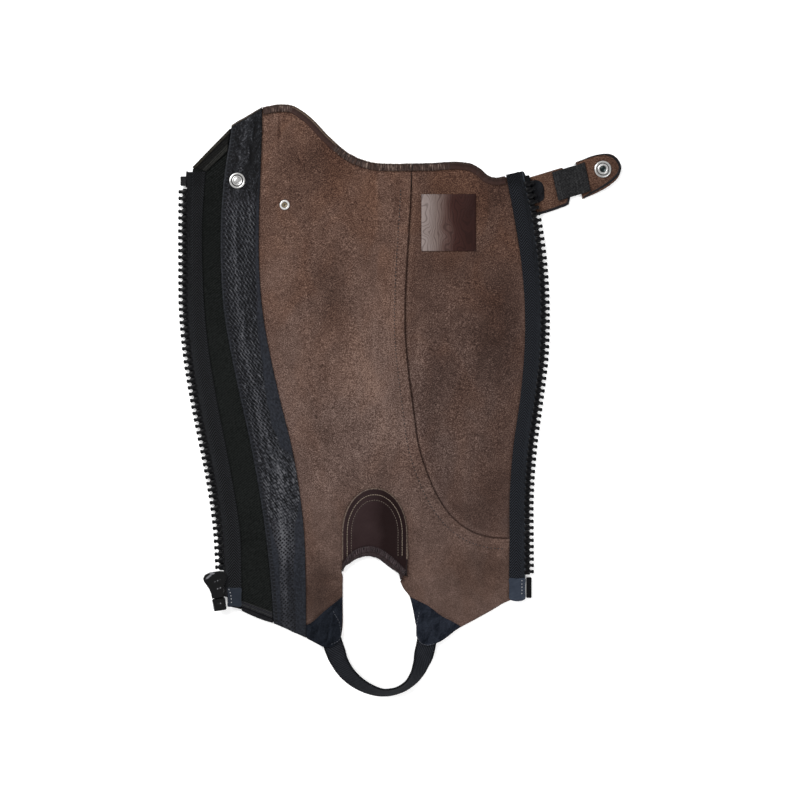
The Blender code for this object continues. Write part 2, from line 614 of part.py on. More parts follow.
def build_zip():
    """Both zip tapes with their films, the teeth, stops, slider, pull, box and pin."""
    left_under = above(lie, STRETCH)
    box_top = -174.0
    edge = np.concatenate([
        upright("rail_left", GAP, 203.4, box_top, 8.0),
        [(-152.9, box_top - 1.0), (-152.9, -183.0)],
    ])
    fold = np.column_stack([section("tape_left", edge[:, 1]), edge[:, 1]])
    ribbon("zip_tape_left", edge, fold, left_under, TAPE, "zip_tape")
    film_y = np.linspace(-166.6, -182.9, 4)
    film_left = np.column_stack([np.full(4, -152.6), film_y])
    film_right = np.column_stack([section("tape_left", film_y), film_y])
    ribbon("zip_film_left", film_left, film_right, above(left_under, TAPE), FILM, "film")

    inner = upright("tape_right", 0.0, 200.8, -176.5, 8.0)
    outer = upright("rail_right", -GAP, 204.0, -176.5, 8.07)
    ribbon("zip_tape_right", inner, outer, tape_right_under, TAPE, "zip_tape")
    film_y = np.linspace(-158.6, -176.3, 4)
    ribbon("zip_film_right", np.column_stack([section("tape_right", film_y), film_y]),
           np.column_stack([section("rail_right", film_y) - GAP, film_y]),
           above(tape_right_under, TAPE), FILM, "film")

    def teeth(name, rail, side, start, end, under):
        line = upright(rail, 0.0, start, end, 8.0)
        tips = line + (side * TEETH_REACH, 0.0)
        pair = (tips, line) if side < 0 else (line, tips)

        def bottom(xy):
            return under(xy) + (TAPE - TEETH_THICK) / 2
        ribbon(name, *pair, bottom, TEETH_THICK, "zip_plastic", cells=1)

    teeth("zip_teeth_left", "rail_left", -1, 188.6, -150.8, left_under)
    teeth("zip_teeth_right", "rail_right", 1, 193.4, -157.0, tape_right_under)

    middle = TAPE / 2
    block("top_stop_left", (5.4, 8.4, TEETH_THICK), (-192.3, 195.2),
          height_at(left_under, (-191.0, 195.2)) + middle, "silver_metal")
    block("top_stop_right", (4.2, 6.2, TEETH_THICK), (113.9, 197.0),
          height_at(tape_right_under, (112.0, 197.0)) + middle, "zip_plastic", math.radians(12.0))
    block("insertion_pin", (4.7, 18.3, 3.0), (115.2, -166.7),
          height_at(tape_right_under, (112.6, -166.7)) + middle, "zip_plastic")
    block("retainer_box", (11.4, 11.0, 4.6), (-160.0, -181.1), SLIDER_MIDDLE, "zip_metal",
          SLIDER_TURN, bevel=0.6)
    build_slider()
    build_pull()


def prism(outline, low, high):
    """A plain upright prism, for joining to another."""
    count = len(outline)
    vertices = [(x, y, z) for z in (low, high) for x, y in outline]
    faces = [tuple(range(count)), tuple(range(count, 2 * count))]
    faces += [(k, (k + 1) % count, count + (k + 1) % count, count + k) for k in range(count)]
    mesh = mesh_of("prism", vertices, faces)
    item = bpy.data.objects.new("prism", mesh)
    bpy.context.scene.collection.objects.link(item)
    return item


def united(name, pieces, finish, location, turn):
    """The pieces joined into one solid."""
    whole = pieces[0]
    for k, piece in enumerate(pieces[1:]):
        union = whole.modifiers.new("join_%d" % k, "BOOLEAN")
        union.operation = "UNION"
        union.solver = "EXACT"
        union.object = piece
    shape = bpy.data.meshes.new_from_object(
        whole.evaluated_get(bpy.context.evaluated_depsgraph_get()))
    for piece in pieces:
        bpy.data.objects.remove(piece)
    shape.name = name
    return make(name, shape, finish, location, turn)


def build_slider():
    """Slider body, inner plate up: two plates, a wedge, edge walls and a crown beneath."""
    half = [(0.0, 11.6), (4.5, 11.6), (8.6, 10.4), (10.5, 7.6), (10.2, 5.0), (8.2, 1.0),
            (6.4, -3.0), (5.5, -7.0), (5.4, -11.3)]
    outline = half + [(-x, y) for x, y in half[:0:-1]]
    low = SLIDER_UNDER
    inner_low, inner_high = low + SLIDER_PLATE, low + SLIDER_PLATE + SLIDER_CHANNEL
    wall = (SLIDER_CHANNEL - SLIDER_SLOT) / 2
    sunk = SLIDER_PLATE / 2
    pieces = [prism(outline, low, inner_low), prism(outline, inner_high, inner_high + SLIDER_PLATE)]
    wedge = [(-2.6, 11.0), (-0.9, 1.5), (0.9, 1.5), (2.6, 11.0)]
    pieces.append(prism(wedge, inner_low - sunk, inner_high + sunk))
    for side in (-1, 1):
        rim = [(side * x * 0.985, y * 0.985) for x, y in half[3:]]
        web = rim + [(x - side * 1.2, y) for x, y in rim[::-1]]
        pieces.append(prism(web, inner_low - sunk, inner_low + wall))
        pieces.append(prism(web, inner_high - wall, inner_high + sunk))
    crown_low = low - CROWN_DEPTH
    half_crown, crown_end, crown_start, leg = 1.8, 8.0, 0.0, 1.4
    bar = [(-half_crown, crown_start), (half_crown, crown_start), (half_crown, crown_end),
           (-half_crown, crown_end)]
    pieces.append(prism(bar, crown_low, crown_low + CROWN_BAR))
    for start in (crown_start, crown_end - leg):
        foot = [(-half_crown * 0.95, start + 0.05), (half_crown * 0.95, start + 0.05),
                (half_crown * 0.95, start + leg - 0.05), (-half_crown * 0.95, start + leg - 0.05)]
        pieces.append(prism(foot, crown_low + CROWN_BAR / 2, low + sunk))
    united("slider_body", pieces, "zip_metal", (*SLIDER_AT, 0.0), SLIDER_TURN)


def build_pull():
    """Pull tab, hung in the crown under the slider and lying flat towards the foot."""
    tab = np.array([(3.6, PULL_THICK / 2), (-3.6, PULL_THICK / 2), (-3.6, -5.0), (-4.4, -8.0),
                    (-4.4, -17.5), (-3.2, -20.0), (0.0, -21.0), (3.2, -20.0), (4.4, -17.5),
                    (4.4, -8.0), (3.6, -5.0)])
    eye = np.array([(-2.2, -PULL_THICK / 2), (2.2, -PULL_THICK / 2), (2.2, -4.9), (-2.2, -4.9)])
    pull = panel("pull_tab", tab, lambda xy: np.full(len(xy), -PULL_THICK / 2), PULL_THICK,
                 "zip_metal", 50.0, holes=[eye])
    forward = Vector((-math.sin(SLIDER_TURN), math.cos(SLIDER_TURN))) * PULL_PIN_FORWARD
    pin = (SLIDER_AT[0] + forward.x, SLIDER_AT[1] + forward.y, SLIDER_UNDER - PULL_PIN_DROP)
    pull.location = [c * MM for c in pin]
    pull.rotation_euler = (0.0, 0.0, SLIDER_TURN)


def build_strap():
    """Closing strap: leather base sewn on the outer face, elastic, end tab and patch."""
    def flat(xy):
        return np.zeros(len(np.atleast_2d(xy)))

    def over_cap(xy):
        return SNAP_DEPTH * fade(distance_to(xy, np.array([SNAP_AT, SNAP_AT])), 9.0, 16.0)

    base = join(curve(STRAP_BASE_TOP, step=9.0), curve(STRAP_BASE_END, step=9.0),
                curve(STRAP_BASE_FOOT, step=9.0))[::-1]
    panel("strap_base", base, flat, LEATHER, "suede", 9.5)
    corners = np.array(STRAP_ELASTIC_CORNERS)
    ribbon("strap_elastic", curve(corners[[0, 3]], count=5), curve(corners[[1, 2]], count=5),
           above(over_cap, LEATHER), STRAP_ELASTIC, "stretch_fabric", cells=6)
    tab = curve(STRAP_TAB, step=6.0)
    snap_hole = circle(SNAP_AT, SNAP_POST + POST_CLEARANCE)
    panel("strap_tab", tab[::-1], over_cap, LEATHER, "suede", 6.0, holes=[snap_hole])
    panel("strap_patch", curve(STRAP_PATCH_EDGE, step=5.0)[::-1], above(flat, LEATHER),
          STRAP_PATCH, "patch_suede", 6.0)


def build_fasteners():
    """Snap stud and rivet through the panels, and the snap's socket on the strap's tab."""
    stack = height_at(strip_under, STUD_AT) + FACING
    low = height_at(lie, STUD_AT)
    turned("snap_stud", [
        (0.0, low - STUD_DEPTH + 0.1), (2.4, low - STUD_DEPTH + 0.1), (3.1, low - 3.1),
        (2.3, low - 1.6), (2.5, low - 1.3), (6.0, low - 1.1), (6.2, low - GAP),
        (STUD_POST, low - GAP), (STUD_POST, stack + GAP), (7.1, stack + GAP),
        (6.9, stack + 0.9), (5.2, stack + 1.2), (4.7, stack + 0.7), (3.2, stack + 0.6),
        (2.4, stack + 1.3), (0.0, stack + 1.5)], STUD_AT, 0.0, "silver_metal")
    low, stack = height_at(lie, RIVET_AT), height_at(lie, RIVET_AT) + LEATHER
    turned("rivet", [
        (0.0, low - 1.7), (2.6, low - 1.6), (4.3, low - 0.9), (4.4, low - GAP),
        (RIVET_POST, low - GAP), (RIVET_POST, stack + GAP), (4.4, stack + GAP),
        (4.2, stack + 0.8), (3.2, stack + 1.1), (2.2, stack + 0.6), (1.2, stack + 0.5),
        (0.0, stack + 0.5)], RIVET_AT, 0.0, "silver_metal", segments=16)
    low, stack = SNAP_DEPTH, SNAP_DEPTH + LEATHER
    turned("snap_socket", [
        (0.0, 0.1), (4.5, 0.3), (7.2, 1.0), (7.4, low - GAP), (SNAP_POST, low - GAP),
        (SNAP_POST, stack + GAP), (7.4, stack + GAP), (7.3, stack + 0.9), (5.6, stack + 1.2),
        (5.0, stack + 1.0), (4.6, stack + 2.7), (3.9, stack + 3.1), (3.2, stack + 2.9),
        (2.8, stack + 1.0), (0.0, stack + 0.9)], SNAP_AT, 0.0, "silver_metal")


for leftover in list(bpy.data.objects):
    bpy.data.objects.remove(leftover)
build_panels()
build_edges()
build_strip_and_patches()
build_foot_elastic()
build_zip()
build_strap()
build_fasteners()
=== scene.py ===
"""One half chap of a pair, unzipped and laid flat with its inner face up.

A Blender 4.5 script.  Tables are in millimetres: +X runs from the stretch panel to the calf
panel, +Y from the foot loop to the knee edge, and +Z up from the table.
"""
import math

import bpy
import numpy as np
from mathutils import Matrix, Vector
from mathutils.bvhtree import BVHTree
from mathutils.geometry import delaunay_2d_cdt


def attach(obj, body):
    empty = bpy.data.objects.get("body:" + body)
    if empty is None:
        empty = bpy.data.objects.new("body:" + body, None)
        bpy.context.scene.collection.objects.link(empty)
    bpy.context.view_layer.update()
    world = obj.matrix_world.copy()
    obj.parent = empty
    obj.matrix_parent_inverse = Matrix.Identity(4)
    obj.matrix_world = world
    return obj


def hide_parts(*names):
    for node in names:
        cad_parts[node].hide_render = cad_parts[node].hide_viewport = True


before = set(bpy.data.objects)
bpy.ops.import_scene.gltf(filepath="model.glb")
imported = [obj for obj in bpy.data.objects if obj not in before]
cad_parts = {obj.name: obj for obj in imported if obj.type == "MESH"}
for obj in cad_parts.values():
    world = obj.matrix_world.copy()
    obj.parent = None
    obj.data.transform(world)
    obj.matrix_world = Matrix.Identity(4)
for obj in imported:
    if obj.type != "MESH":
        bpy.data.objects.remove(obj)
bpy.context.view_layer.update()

# ---- Table, light and camera ----
# The chap lies on a plain white table under broad soft light, most of it from the upper left,
# and is seen from straight above.
MM = 0.001
LIGHT_LEVEL = 1.35
TABLE_REACH, TABLE_LIP, TABLE_DROP = 3.0, 0.04, 0.0002


class Reading:
    """A number read at each point of a surface.  Sums on it add Math nodes."""

    def __init__(self, finish, socket):
        self.finish, self.socket = finish, socket

    def __add__(self, other):
        return self.finish.maths("ADD", self, other)

    def __sub__(self, other):
        return self.finish.maths("SUBTRACT", self, other)

    def __rsub__(self, other):
        return self.finish.maths("SUBTRACT", other, self)

    def __mul__(self, other):
        return self.finish.maths("MULTIPLY", self, other)

    __radd__, __rmul__ = __add__, __mul__


def seen(r, g, b):
    """Base colour of a matt surface that shows as this sRGB colour under the light here."""
    linear = [((c / 255 + 0.055) / 1.055) ** 2.4 if c > 10 else c / 255 / 12.92 for c in (r, g, b)]
    return (*(c / LIGHT_LEVEL for c in linear), 1)


class Finish:
    """A material in the making.  The fixed numbers go on the shader's own sockets."""

    def __init__(self, name, **fixed):
        self.material = bpy.data.materials.new(name)
        self.material.use_nodes = True
        self.tree = self.material.node_tree
        self.shader = self.tree.nodes["Principled BSDF"]
        for socket, value in fixed.items():
            self.shader.inputs[socket.replace("_", " ")].default_value = value

    def node(self, kind, settings=None, values=None, output=0):
        """Add a node of that kind, set it up, then set or join its sockets."""
        made = self.tree.nodes.new("ShaderNode" + kind)
        for key, value in (settings or {}).items():
            if key == "stops":
                ramp = made.color_ramp
                ramp.elements.remove(ramp.elements[1])
                ramp.elements[0].position, ramp.elements[0].color = value[0]
                for place, colour in value[1:]:
                    ramp.elements.new(place).color = colour
            else:
                setattr(made, key, value)
        for key, value in (values or {}).items():
            if isinstance(value, Reading):
                self.tree.links.new(value.socket, made.inputs[key])
            else:
                made.inputs[key].default_value = value
        return Reading(self, made.outputs[output])

    def maths(self, operation, *values):
        return self.node("Math", {"operation": operation}, dict(enumerate(values)))

    def vector(self, operation, *values, output=0):
        return self.node("VectorMath", {"operation": operation}, dict(enumerate(values)), output)

    def turned(self, place, turn):
        return self.node("VectorRotate", {"rotation_type": "Z_AXIS"},
                         {"Vector": place, "Angle": math.radians(turn)}) if turn else place

    def place(self, scale=(1, 1, 1), turn=0, on_cloth=False):
        """Where a point is in mm, on the table or along the cloth, turned and then scaled."""
        source, to_mm = self.node("TexCoord", output=2 if on_cloth else 3), 1 if on_cloth else 1000
        place = self.vector("MULTIPLY", source, (to_mm,) * 3)
        return self.vector("MULTIPLY", self.turned(place, turn), scale)

    def noise(self, size, detail=2, rough=0.5, turn=0, on_cloth=False, warp=0):
        """Uneven mottling about 0, with patches of that size in mm (one number, or x and y)."""
        size = size if isinstance(size, tuple) else (size, size)
        place = self.place((1 / size[0], 1 / size[1], 1 / size[0]), turn, on_cloth)
        return self.node("TexNoise", {"noise_dimensions": "3D"}, {
            "Vector": place, "Scale": 1, "Detail": detail, "Roughness": rough,
            "Distortion": warp}) - 0.5

    def ribs(self, scale, turn=0, on_cloth=False, run="X", loose=0, fine=1):
        """Ribs from 0 to 1, as many to a mm as the scale says."""
        return self.node("TexWave", {"bands_direction": run}, {
            "Vector": self.place((scale,) * 3, turn, on_cloth), "Scale": 1,
            "Distortion": loose, "Detail Scale": fine}, output=1)

    def pebbles(self, wide, long, turn=0, on_cloth=False, kind="SMOOTH_F1", loose=1):
        """How far a place is from the middle of its cell, in cells of that size in mm."""
        return self.node("TexVoronoi", {"feature": kind}, {
            "Vector": self.place((1 / wide, 1 / long, 1 / wide), turn, on_cloth),
            "Scale": 1, "Randomness": loose})

    def part(self, axis, **where):
        """One number of a place: 0, 1 or 2 for x, y or z."""
        return self.node("SeparateXYZ", values={0: self.place(**where)}, output=axis)

    def cloth(self, turn=0):
        """How far across the cloth a place is, and how far along it."""
        return [self.part(axis, turn=turn, on_cloth=True) for axis in (0, 1)]

    def spot(self, x, y, wide, high, turn=0):
        """1 at that place (mm), easing to 0 at the rim of an oval of that half width and height."""
        away = self.turned(self.vector("SUBTRACT", self.place(), (x, y, 0)), turn)
        away = self.vector("MULTIPLY", away, (1 / wide, 1 / high, 0))
        return self.step(self.vector("LENGTH", away, output=1), 1, 0)

    def from_line(self, ax, ay, bx, by):
        """How far a point is to the right of a straight line, in mm."""
        run = math.hypot(bx - ax, by - ay)
        right = ((by - ay) / run, (ax - bx) / run)
        return self.part(0) * right[0] + self.part(1) * right[1] - (ax * right[0] + ay * right[1])

    def step(self, value, low, high, smooth=True):
        """0 below low and 1 above high, easing between."""
        return self.node("MapRange", {"interpolation_type": "SMOOTHSTEP" if smooth else "LINEAR"},
                         {"Value": value, "From Min": low, "From Max": high})

    def band(self, value, low, full, fading, high):
        """1 from full to fading, and 0 below low and above high."""
        return self.step(value, low, full) * self.step(value, high, fading)

    def ramp(self, value, *stops):
        """Colours by a number from 0 to 1: rows of that number and the r, g and b that show."""
        stops = [(row[0], seen(*row[1:]) if len(row) > 2 else row[1]) for row in stops]
        return self.node("ValToRGB", {"stops": stops}, {"Fac": value})

    def shades(self, value, dark, light, low=0.2, high=0.8):
        return self.ramp(value, (low, *dark), (high, *light))

    def blend(self, share, first, second):
        return self.node("Mix", {"data_type": "RGBA"}, {0: share, 6: first, 7: second}, output=2)

    def over(self, colour, share, value, dark, light, low=0.2, high=0.8):
        """That share of two more shades, laid over the colour."""
        return self.blend(share, colour, self.shades(value, dark, light, low, high))

    def wear(self, colour, relief, **sockets):
        """Join the colour, the relief (a height in mm) and any other varying socket."""
        bump = self.node("Bump", values={"Height": relief, "Distance": MM, "Strength": 1})
        for socket, value in {"Base Color": colour, "Normal": bump, **sockets}.items():
            self.tree.links.new(value.socket, self.shader.inputs[socket])
        return self.material


def put(name, data, at=(0, 0, 0)):
    """Stand a mesh, a lamp or the camera in the scene."""
    item = bpy.data.objects.new(name, data)
    item.location = at
    bpy.context.scene.collection.objects.link(item)
    return item


def table_top():
    """A white sheet with a turned down rim. It glows, as painted light that washes out the shadows cast on
    it, except under the top of the seam, where the gap is left dark with shade.
    """
    finish = Finish("table_white", Roughness=0.85, Emission_Strength=0.38)
    seam_top = finish.band(finish.part(0), 4, 7, 14, 17) \
        * finish.band(finish.part(1), 150, 160, 210.4, 211.2)
    glow = finish.ramp(seam_top, (0, (1, 1, 1, 1)), (0.9, (0, 0, 0, 1)))
    white = finish.ramp(finish.noise(180) + 0.5, (0.3, (0.90, 0.90, 0.90, 1)),
                        (0.7, (0.93, 0.93, 0.93, 1)))
    finish.wear(white, finish.noise(1.5) * 0.02, **{"Emission Color": glow})
    side = np.array([(-1, -1), (1, -1), (1, 1), (-1, 1)]) * TABLE_REACH
    points = [(x, y, z) for spread, z in ((1, 0), (1 + TABLE_LIP, -TABLE_LIP))
              for x, y in side * spread]
    mesh = bpy.data.meshes.new("table")
    mesh.from_pydata(points, [], [(0, 1, 2, 3)] + [(k, k + 4, (k + 1) % 4 + 4, (k + 1) % 4)
                                                   for k in range(4)])
    mesh.materials.append(finish.material)
    put("table", mesh, (0, 0, -TABLE_DROP))


def soft_light(name, at, size, power):
    lamp = bpy.data.lights.new(name, "AREA")
    lamp.shape, lamp.size, lamp.energy = "DISK", size, power
    put(name, lamp, at).rotation_euler = (-Vector(at)).to_track_quat("-Z", "Y").to_euler()


def studio_walls():
    """White walls all round and a dark ceiling, so that black and glossy pieces stay deep."""
    room = bpy.data.worlds.new("studio")
    room.use_nodes = True
    nodes, join = room.node_tree.nodes, room.node_tree.links.new
    way, parts = nodes.new("ShaderNodeTexCoord"), nodes.new("ShaderNodeSeparateXYZ")
    fade = nodes.new("ShaderNodeMapRange")
    for socket, value in zip(fade.inputs[1:5], (0.45, 0.92, 0.6, 0.06)):
        socket.default_value = value
    join(way.outputs["Generated"], parts.inputs[0])
    join(parts.outputs[2], fade.inputs[0])
    join(fade.outputs[0], nodes["Background"].inputs["Strength"])
    nodes["Background"].inputs["Color"].default_value = (1, 1, 1, 1)
    bpy.context.scene.world = room


table_top()
studio_walls()
soft_light("window_light", (-1.15, 1.05, 1.35), 1.4, 51)
soft_light("fill_light", (1.3, -0.9, 1.4), 1.7, 27)
bpy.context.scene.view_settings.view_transform = "Standard"
lens = bpy.data.cameras.new("camera")
lens.lens, lens.sensor_width = 90, 36
bpy.context.scene.camera = put("camera", lens, (0.0004, 0.0004, 1.784))


# ---- Front panel and calf panel ----
# Two pieces of brown suede leather, 1.8 mm thick, with the napped flesh side up and the smooth
# outer side down.  The front panel laps 11 mm over the calf panel along a curved seam.
def upper_side(node, look=1):
    """Points (mm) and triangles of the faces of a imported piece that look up, or down."""
    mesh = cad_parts[node].data
    mesh.calc_loop_triangles()
    points = np.array([v.co for v in mesh.vertices]) / MM
    faces = np.array([t.vertices for t in mesh.loop_triangles])
    across = np.cross(points[faces[:, 1]] - points[faces[:, 0]],
                      points[faces[:, 2]] - points[faces[:, 0]])
    level = look * across[:, 2] > 0.5 * np.linalg.norm(across, axis=1)
    points, index = np.unique(points.round(2), axis=0, return_inverse=True)
    return points, index.reshape(-1)[faces[level]]


def surface(node, look=1):
    """Height (mm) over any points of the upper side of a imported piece, or of its lower one."""
    points, faces = upper_side(node, look)
    tree = BVHTree.FromPolygons(points.tolist(), faces.tolist())

    def height(xy):
        found = []
        for x, y in xy:
            hit = tree.ray_cast((x, y, look * 90), (0, 0, -look))[0]
            found.append((hit or tree.find_nearest((x, y, look * 9))[0]).z)
        return np.array(found)
    return height


def outlines(faces):
    """The closed edges of a set of triangles, each as a run of point numbers."""
    pairs = {(a, b) for f in faces.tolist() for a, b in zip(f, f[1:] + f[:1])}
    after = {a: b for a, b in pairs if (b, a) not in pairs}
    loops = []
    while after:
        start, here = next(iter(after.items()))
        loop = [start]
        del after[start]
        while here != start:
            loop.append(here)
            here = after.pop(here)
        loops.append(loop)
    return sorted(loops, key=len, reverse=True)


def hermite(points, places, wanted):
    """Smooth line through points at the given places, read at the wanted ones."""
    slopes = np.gradient(points, places, axis=0)
    i = np.clip(np.searchsorted(places, wanted) - 1, 0, len(places) - 2)
    h = (places[i + 1] - places[i])[:, None]
    t = ((wanted - places[i])[:, None]) / h
    return ((1 + 2 * t) * (1 - t) ** 2 * points[i] + t * (1 - t) ** 2 * h * slopes[i]
            + t * t * (3 - 2 * t) * points[i + 1] - t * t * (1 - t) * h * slopes[i + 1])


def run_of(points):
    """How far along a line each of its points is."""
    return np.concatenate([[0], np.cumsum(np.linalg.norm(np.diff(points, axis=0), axis=1))])


def curve(points, step):
    """Points about a step apart on a smooth line through the given ones."""
    points = np.array(points, float)
    along = run_of(points)
    count = max(2, round(along[-1] / step) + 1)
    if len(points) < 3:
        return np.linspace(points[0], points[-1], count)
    return hermite(points, along, np.linspace(0, along[-1], count))


def closed(loop):
    return np.concatenate([loop, loop[:1]])


def rounded(loop, step, sharp=36):
    """A closed outline with its corners kept and its runs between them made smooth."""
    back, ahead = loop - np.roll(loop, 1, axis=0), np.roll(loop, -1, axis=0) - loop
    turn = np.degrees(np.abs(np.arctan2(back[:, 0] * ahead[:, 1] - back[:, 1] * ahead[:, 0],
                                        (back * ahead).sum(axis=1))))
    corners = np.flatnonzero(turn > sharp)
    if len(corners) == 0 or len(loop) <= 10:
        ring = np.concatenate([loop[-3:], loop, loop[:4]])
        along = run_of(ring)
        start, end = along[3], along[3 + len(loop)]
        count = max(12, round((end - start) / step))
        return hermite(ring, along, np.linspace(start, end, count + 1)[:-1])
    loop = closed(np.roll(loop, -corners[0], axis=0))
    corners = np.append(corners - corners[0], len(loop) - 1)
    return np.concatenate([curve(loop[a:b + 1], step)[:-1] for a, b in zip(corners, corners[1:])])


def distance_to(xy, line):
    """Distance of each point from a line of points, and how far along it that is (0 to 1)."""
    start, along = line[:-1], np.diff(line, axis=0)
    length = np.maximum(np.linalg.norm(along, axis=1), 1e-6)
    done = np.concatenate([[0], np.cumsum(length)])
    nearest, share = np.full(len(xy), 1e9), np.zeros(len(xy))
    for k in range(len(start)):
        t = np.clip(((xy - start[k]) @ along[k]) / length[k] ** 2, 0, 1)
        away = np.linalg.norm(xy - start[k] - t[:, None] * along[k], axis=1)
        closer = away < nearest
        nearest[closer] = away[closer]
        share[closer] = (done[k] + t[closer] * length[k]) / done[-1]
    return nearest, share


def inside(xy, outline):
    """Whether each point lies within a closed outline."""
    following = np.roll(outline, -1, axis=0)
    x, y = xy[:, :1], xy[:, 1:]
    spans = (outline[:, 1] > y) != (following[:, 1] > y)
    rise = np.where(following[:, 1] == outline[:, 1], 1e-9, following[:, 1] - outline[:, 1])
    crossing = outline[:, 0] + (y - outline[:, 1]) / rise * (following[:, 0] - outline[:, 0])
    return (spans & (x < crossing)).sum(axis=1) % 2 == 1


def normals(line):
    """Unit normals to the right of the way that the line runs."""
    tangent = np.gradient(line, axis=0)
    tangent /= np.linalg.norm(tangent, axis=1)[:, None]
    return np.stack([tangent[:, 1], -tangent[:, 0]], axis=1)


def filled(loops, spacing, border):
    """The outline filled with triangles, with a close row of points beside each cut edge."""
    def in_cloth(xy):
        kept = inside(xy, loops[0])
        for hole in loops[1:]:
            kept &= ~inside(xy, hole)
        return kept

    points, edges = [], []
    for loop in loops:
        first = len(points)
        points += list(loop)
        edges += [(first + k, first + (k + 1) % len(loop)) for k in range(len(loop))]
    low, high = loops[0].min(axis=0), loops[0].max(axis=0)
    rows = np.arange(low[1] + spacing / 2, high[1], spacing * 0.87)
    across = np.arange(low[0], high[0] + spacing, spacing)
    grid = np.array([(x + (k % 2) * spacing / 2, y) for k, y in enumerate(rows) for x in across])
    beside = np.concatenate([line[:-1] - normals(line)[:-1] * border
                             for line in map(closed, loops)])
    for extra, clear in ((beside, border * 0.8), (grid.reshape(-1, 2), border + spacing * 0.45)):
        extra = extra[in_cloth(extra)]
        for loop in loops:
            extra = extra[distance_to(extra, closed(loop))[0] > clear]
        points += list(extra)
    result = delaunay_2d_cdt([Vector(p) for p in points], edges, [], 0, 1e-4)
    flat = np.array([tuple(v) for v in result[0]])
    faces = np.array([tuple(f) for f in result[2]])
    faces = faces[in_cloth(flat[faces].mean(axis=1))]
    down = np.cross(flat[faces[:, 1]] - flat[faces[:, 0]], flat[faces[:, 2]] - flat[faces[:, 0]]) < 0
    faces[down] = faces[down][:, ::-1]
    used, number = np.unique(faces, return_inverse=True)
    return flat[used], number.reshape(-1, 3)


def settled(values, faces, rounds):
    """Numbers on the points of a mesh, smoothed so that no facet shows."""
    pairs = np.unique(np.sort(np.concatenate([faces[:, [0, 1]], faces[:, [1, 2]],
                                              faces[:, [2, 0]]]), axis=1), axis=0)
    count = np.bincount(pairs.ravel(), minlength=len(values))
    for _ in range(rounds):
        total = (np.bincount(pairs[:, 0], values[pairs[:, 1]], len(values))
                 + np.bincount(pairs[:, 1], values[pairs[:, 0]], len(values)))
        values = values * 0.4 + 0.6 * total / count
    return values


WANDER_CELLS, WANDER_START = 89, 400


def wander(xy, size, seed):
    """Smooth unevenness from -1 to 1, in bumps of about that size (mm)."""
    table = np.random.default_rng(seed).uniform(-1, 1, (WANDER_CELLS, WANDER_CELLS))
    grid = np.asarray(xy) / size + WANDER_START
    cell = np.floor(grid).astype(int)
    t = grid - cell
    t = t * t * (3 - 2 * t)
    corner = [[table[(cell[:, 0] + i) % WANDER_CELLS, (cell[:, 1] + j) % WANDER_CELLS]
               for j in (0, 1)] for i in (0, 1)]
    left, right = (c[0] * (1 - t[:, 1]) + c[1] * t[:, 1] for c in corner)
    return left * (1 - t[:, 0]) + right * t[:, 0]


def creased(xy, table):
    """Soft troughs: rows of x, y at both ends, sideways bow, depth and width, all in mm."""
    total = np.zeros(len(xy))
    for ax, ay, bx, by, bow, depth, width in table:
        a, b = np.array([ax, ay], float), np.array([bx, by], float)
        side = np.array([b[1] - a[1], a[0] - b[0]]) / np.linalg.norm(b - a)
        away, along = distance_to(xy, curve([a, (a + b) / 2 + side * bow, b], 12))
        total -= depth * np.exp(-(away / width) ** 2) * np.sin(math.pi * along) ** 0.8
    return total


def mesh_object(name, points, faces, materials, uv=None):
    """A mesh given in mm, with its places along the cloth as its UV map."""
    mesh = bpy.data.meshes.new(name)
    mesh.from_pydata((np.asarray(points) * MM).tolist(), [], faces.tolist()
                     if isinstance(faces, np.ndarray) else faces)
    for material in materials:
        mesh.materials.append(material)
    mesh.polygons.foreach_set("use_smooth", [True] * len(mesh.polygons))
    if uv is not None:
        corners = np.zeros(len(mesh.loops), int)
        mesh.loops.foreach_get("vertex_index", corners)
        mesh.uv_layers.new(name="along_cloth").data.foreach_set("uv", uv[corners].ravel())
    return put(name, mesh)


def thickened(item, thickness, offset=-1):
    """Give a sheet its thickness: the second material on its cut edge, the third on its back."""
    shell = item.modifiers.new("thickness", "SOLIDIFY")
    shell.thickness, shell.offset = thickness * MM, offset
    shell.material_offset_rim, shell.material_offset = 1, 2


def fitted(item, node, flat, area=None, held="laid", rests_on=("table",), body="root"):
    """Attach the piece to its body, and hide the imported solid that it stands for."""
    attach(item, body)
    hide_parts(node)
    flat[0] * MM
    flat[1] * MM
    None if area is None else area * 1e-6


SETTLE_REACH, TABLE_CLEARANCE = 0.15, 0.02


def cut_sheet(name, node, thickness, spacing, materials, flat, area=None, relief=None, uv=None,
              rounds=10, border=0.8, roll=0.3, **laid):
    """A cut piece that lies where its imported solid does: materials are face, cut edge, back."""
    points, faces = upper_side(node)
    loops = [rounded(points[loop, :2], spacing) for loop in outlines(faces)]
    places, triangles = filled(loops, spacing, border)
    packed = surface(node)(places)
    height = np.clip(settled(packed, triangles, rounds), packed - SETTLE_REACH, packed + SETTLE_REACH)
    away = np.min([distance_to(places, closed(loop))[0] for loop in loops], axis=0)
    height -= roll * np.clip(1 - away / border, 0, 1) ** 2
    if relief:
        height += relief(places)
    height = np.maximum(height, thickness + TABLE_CLEARANCE)
    item = mesh_object(name, np.column_stack([places, height]), triangles,
                       materials if isinstance(materials, tuple) else (materials,) * 3,
                       places if uv is None else uv(places))
    thickened(item, thickness)
    fitted(item, node, flat, area, **laid)


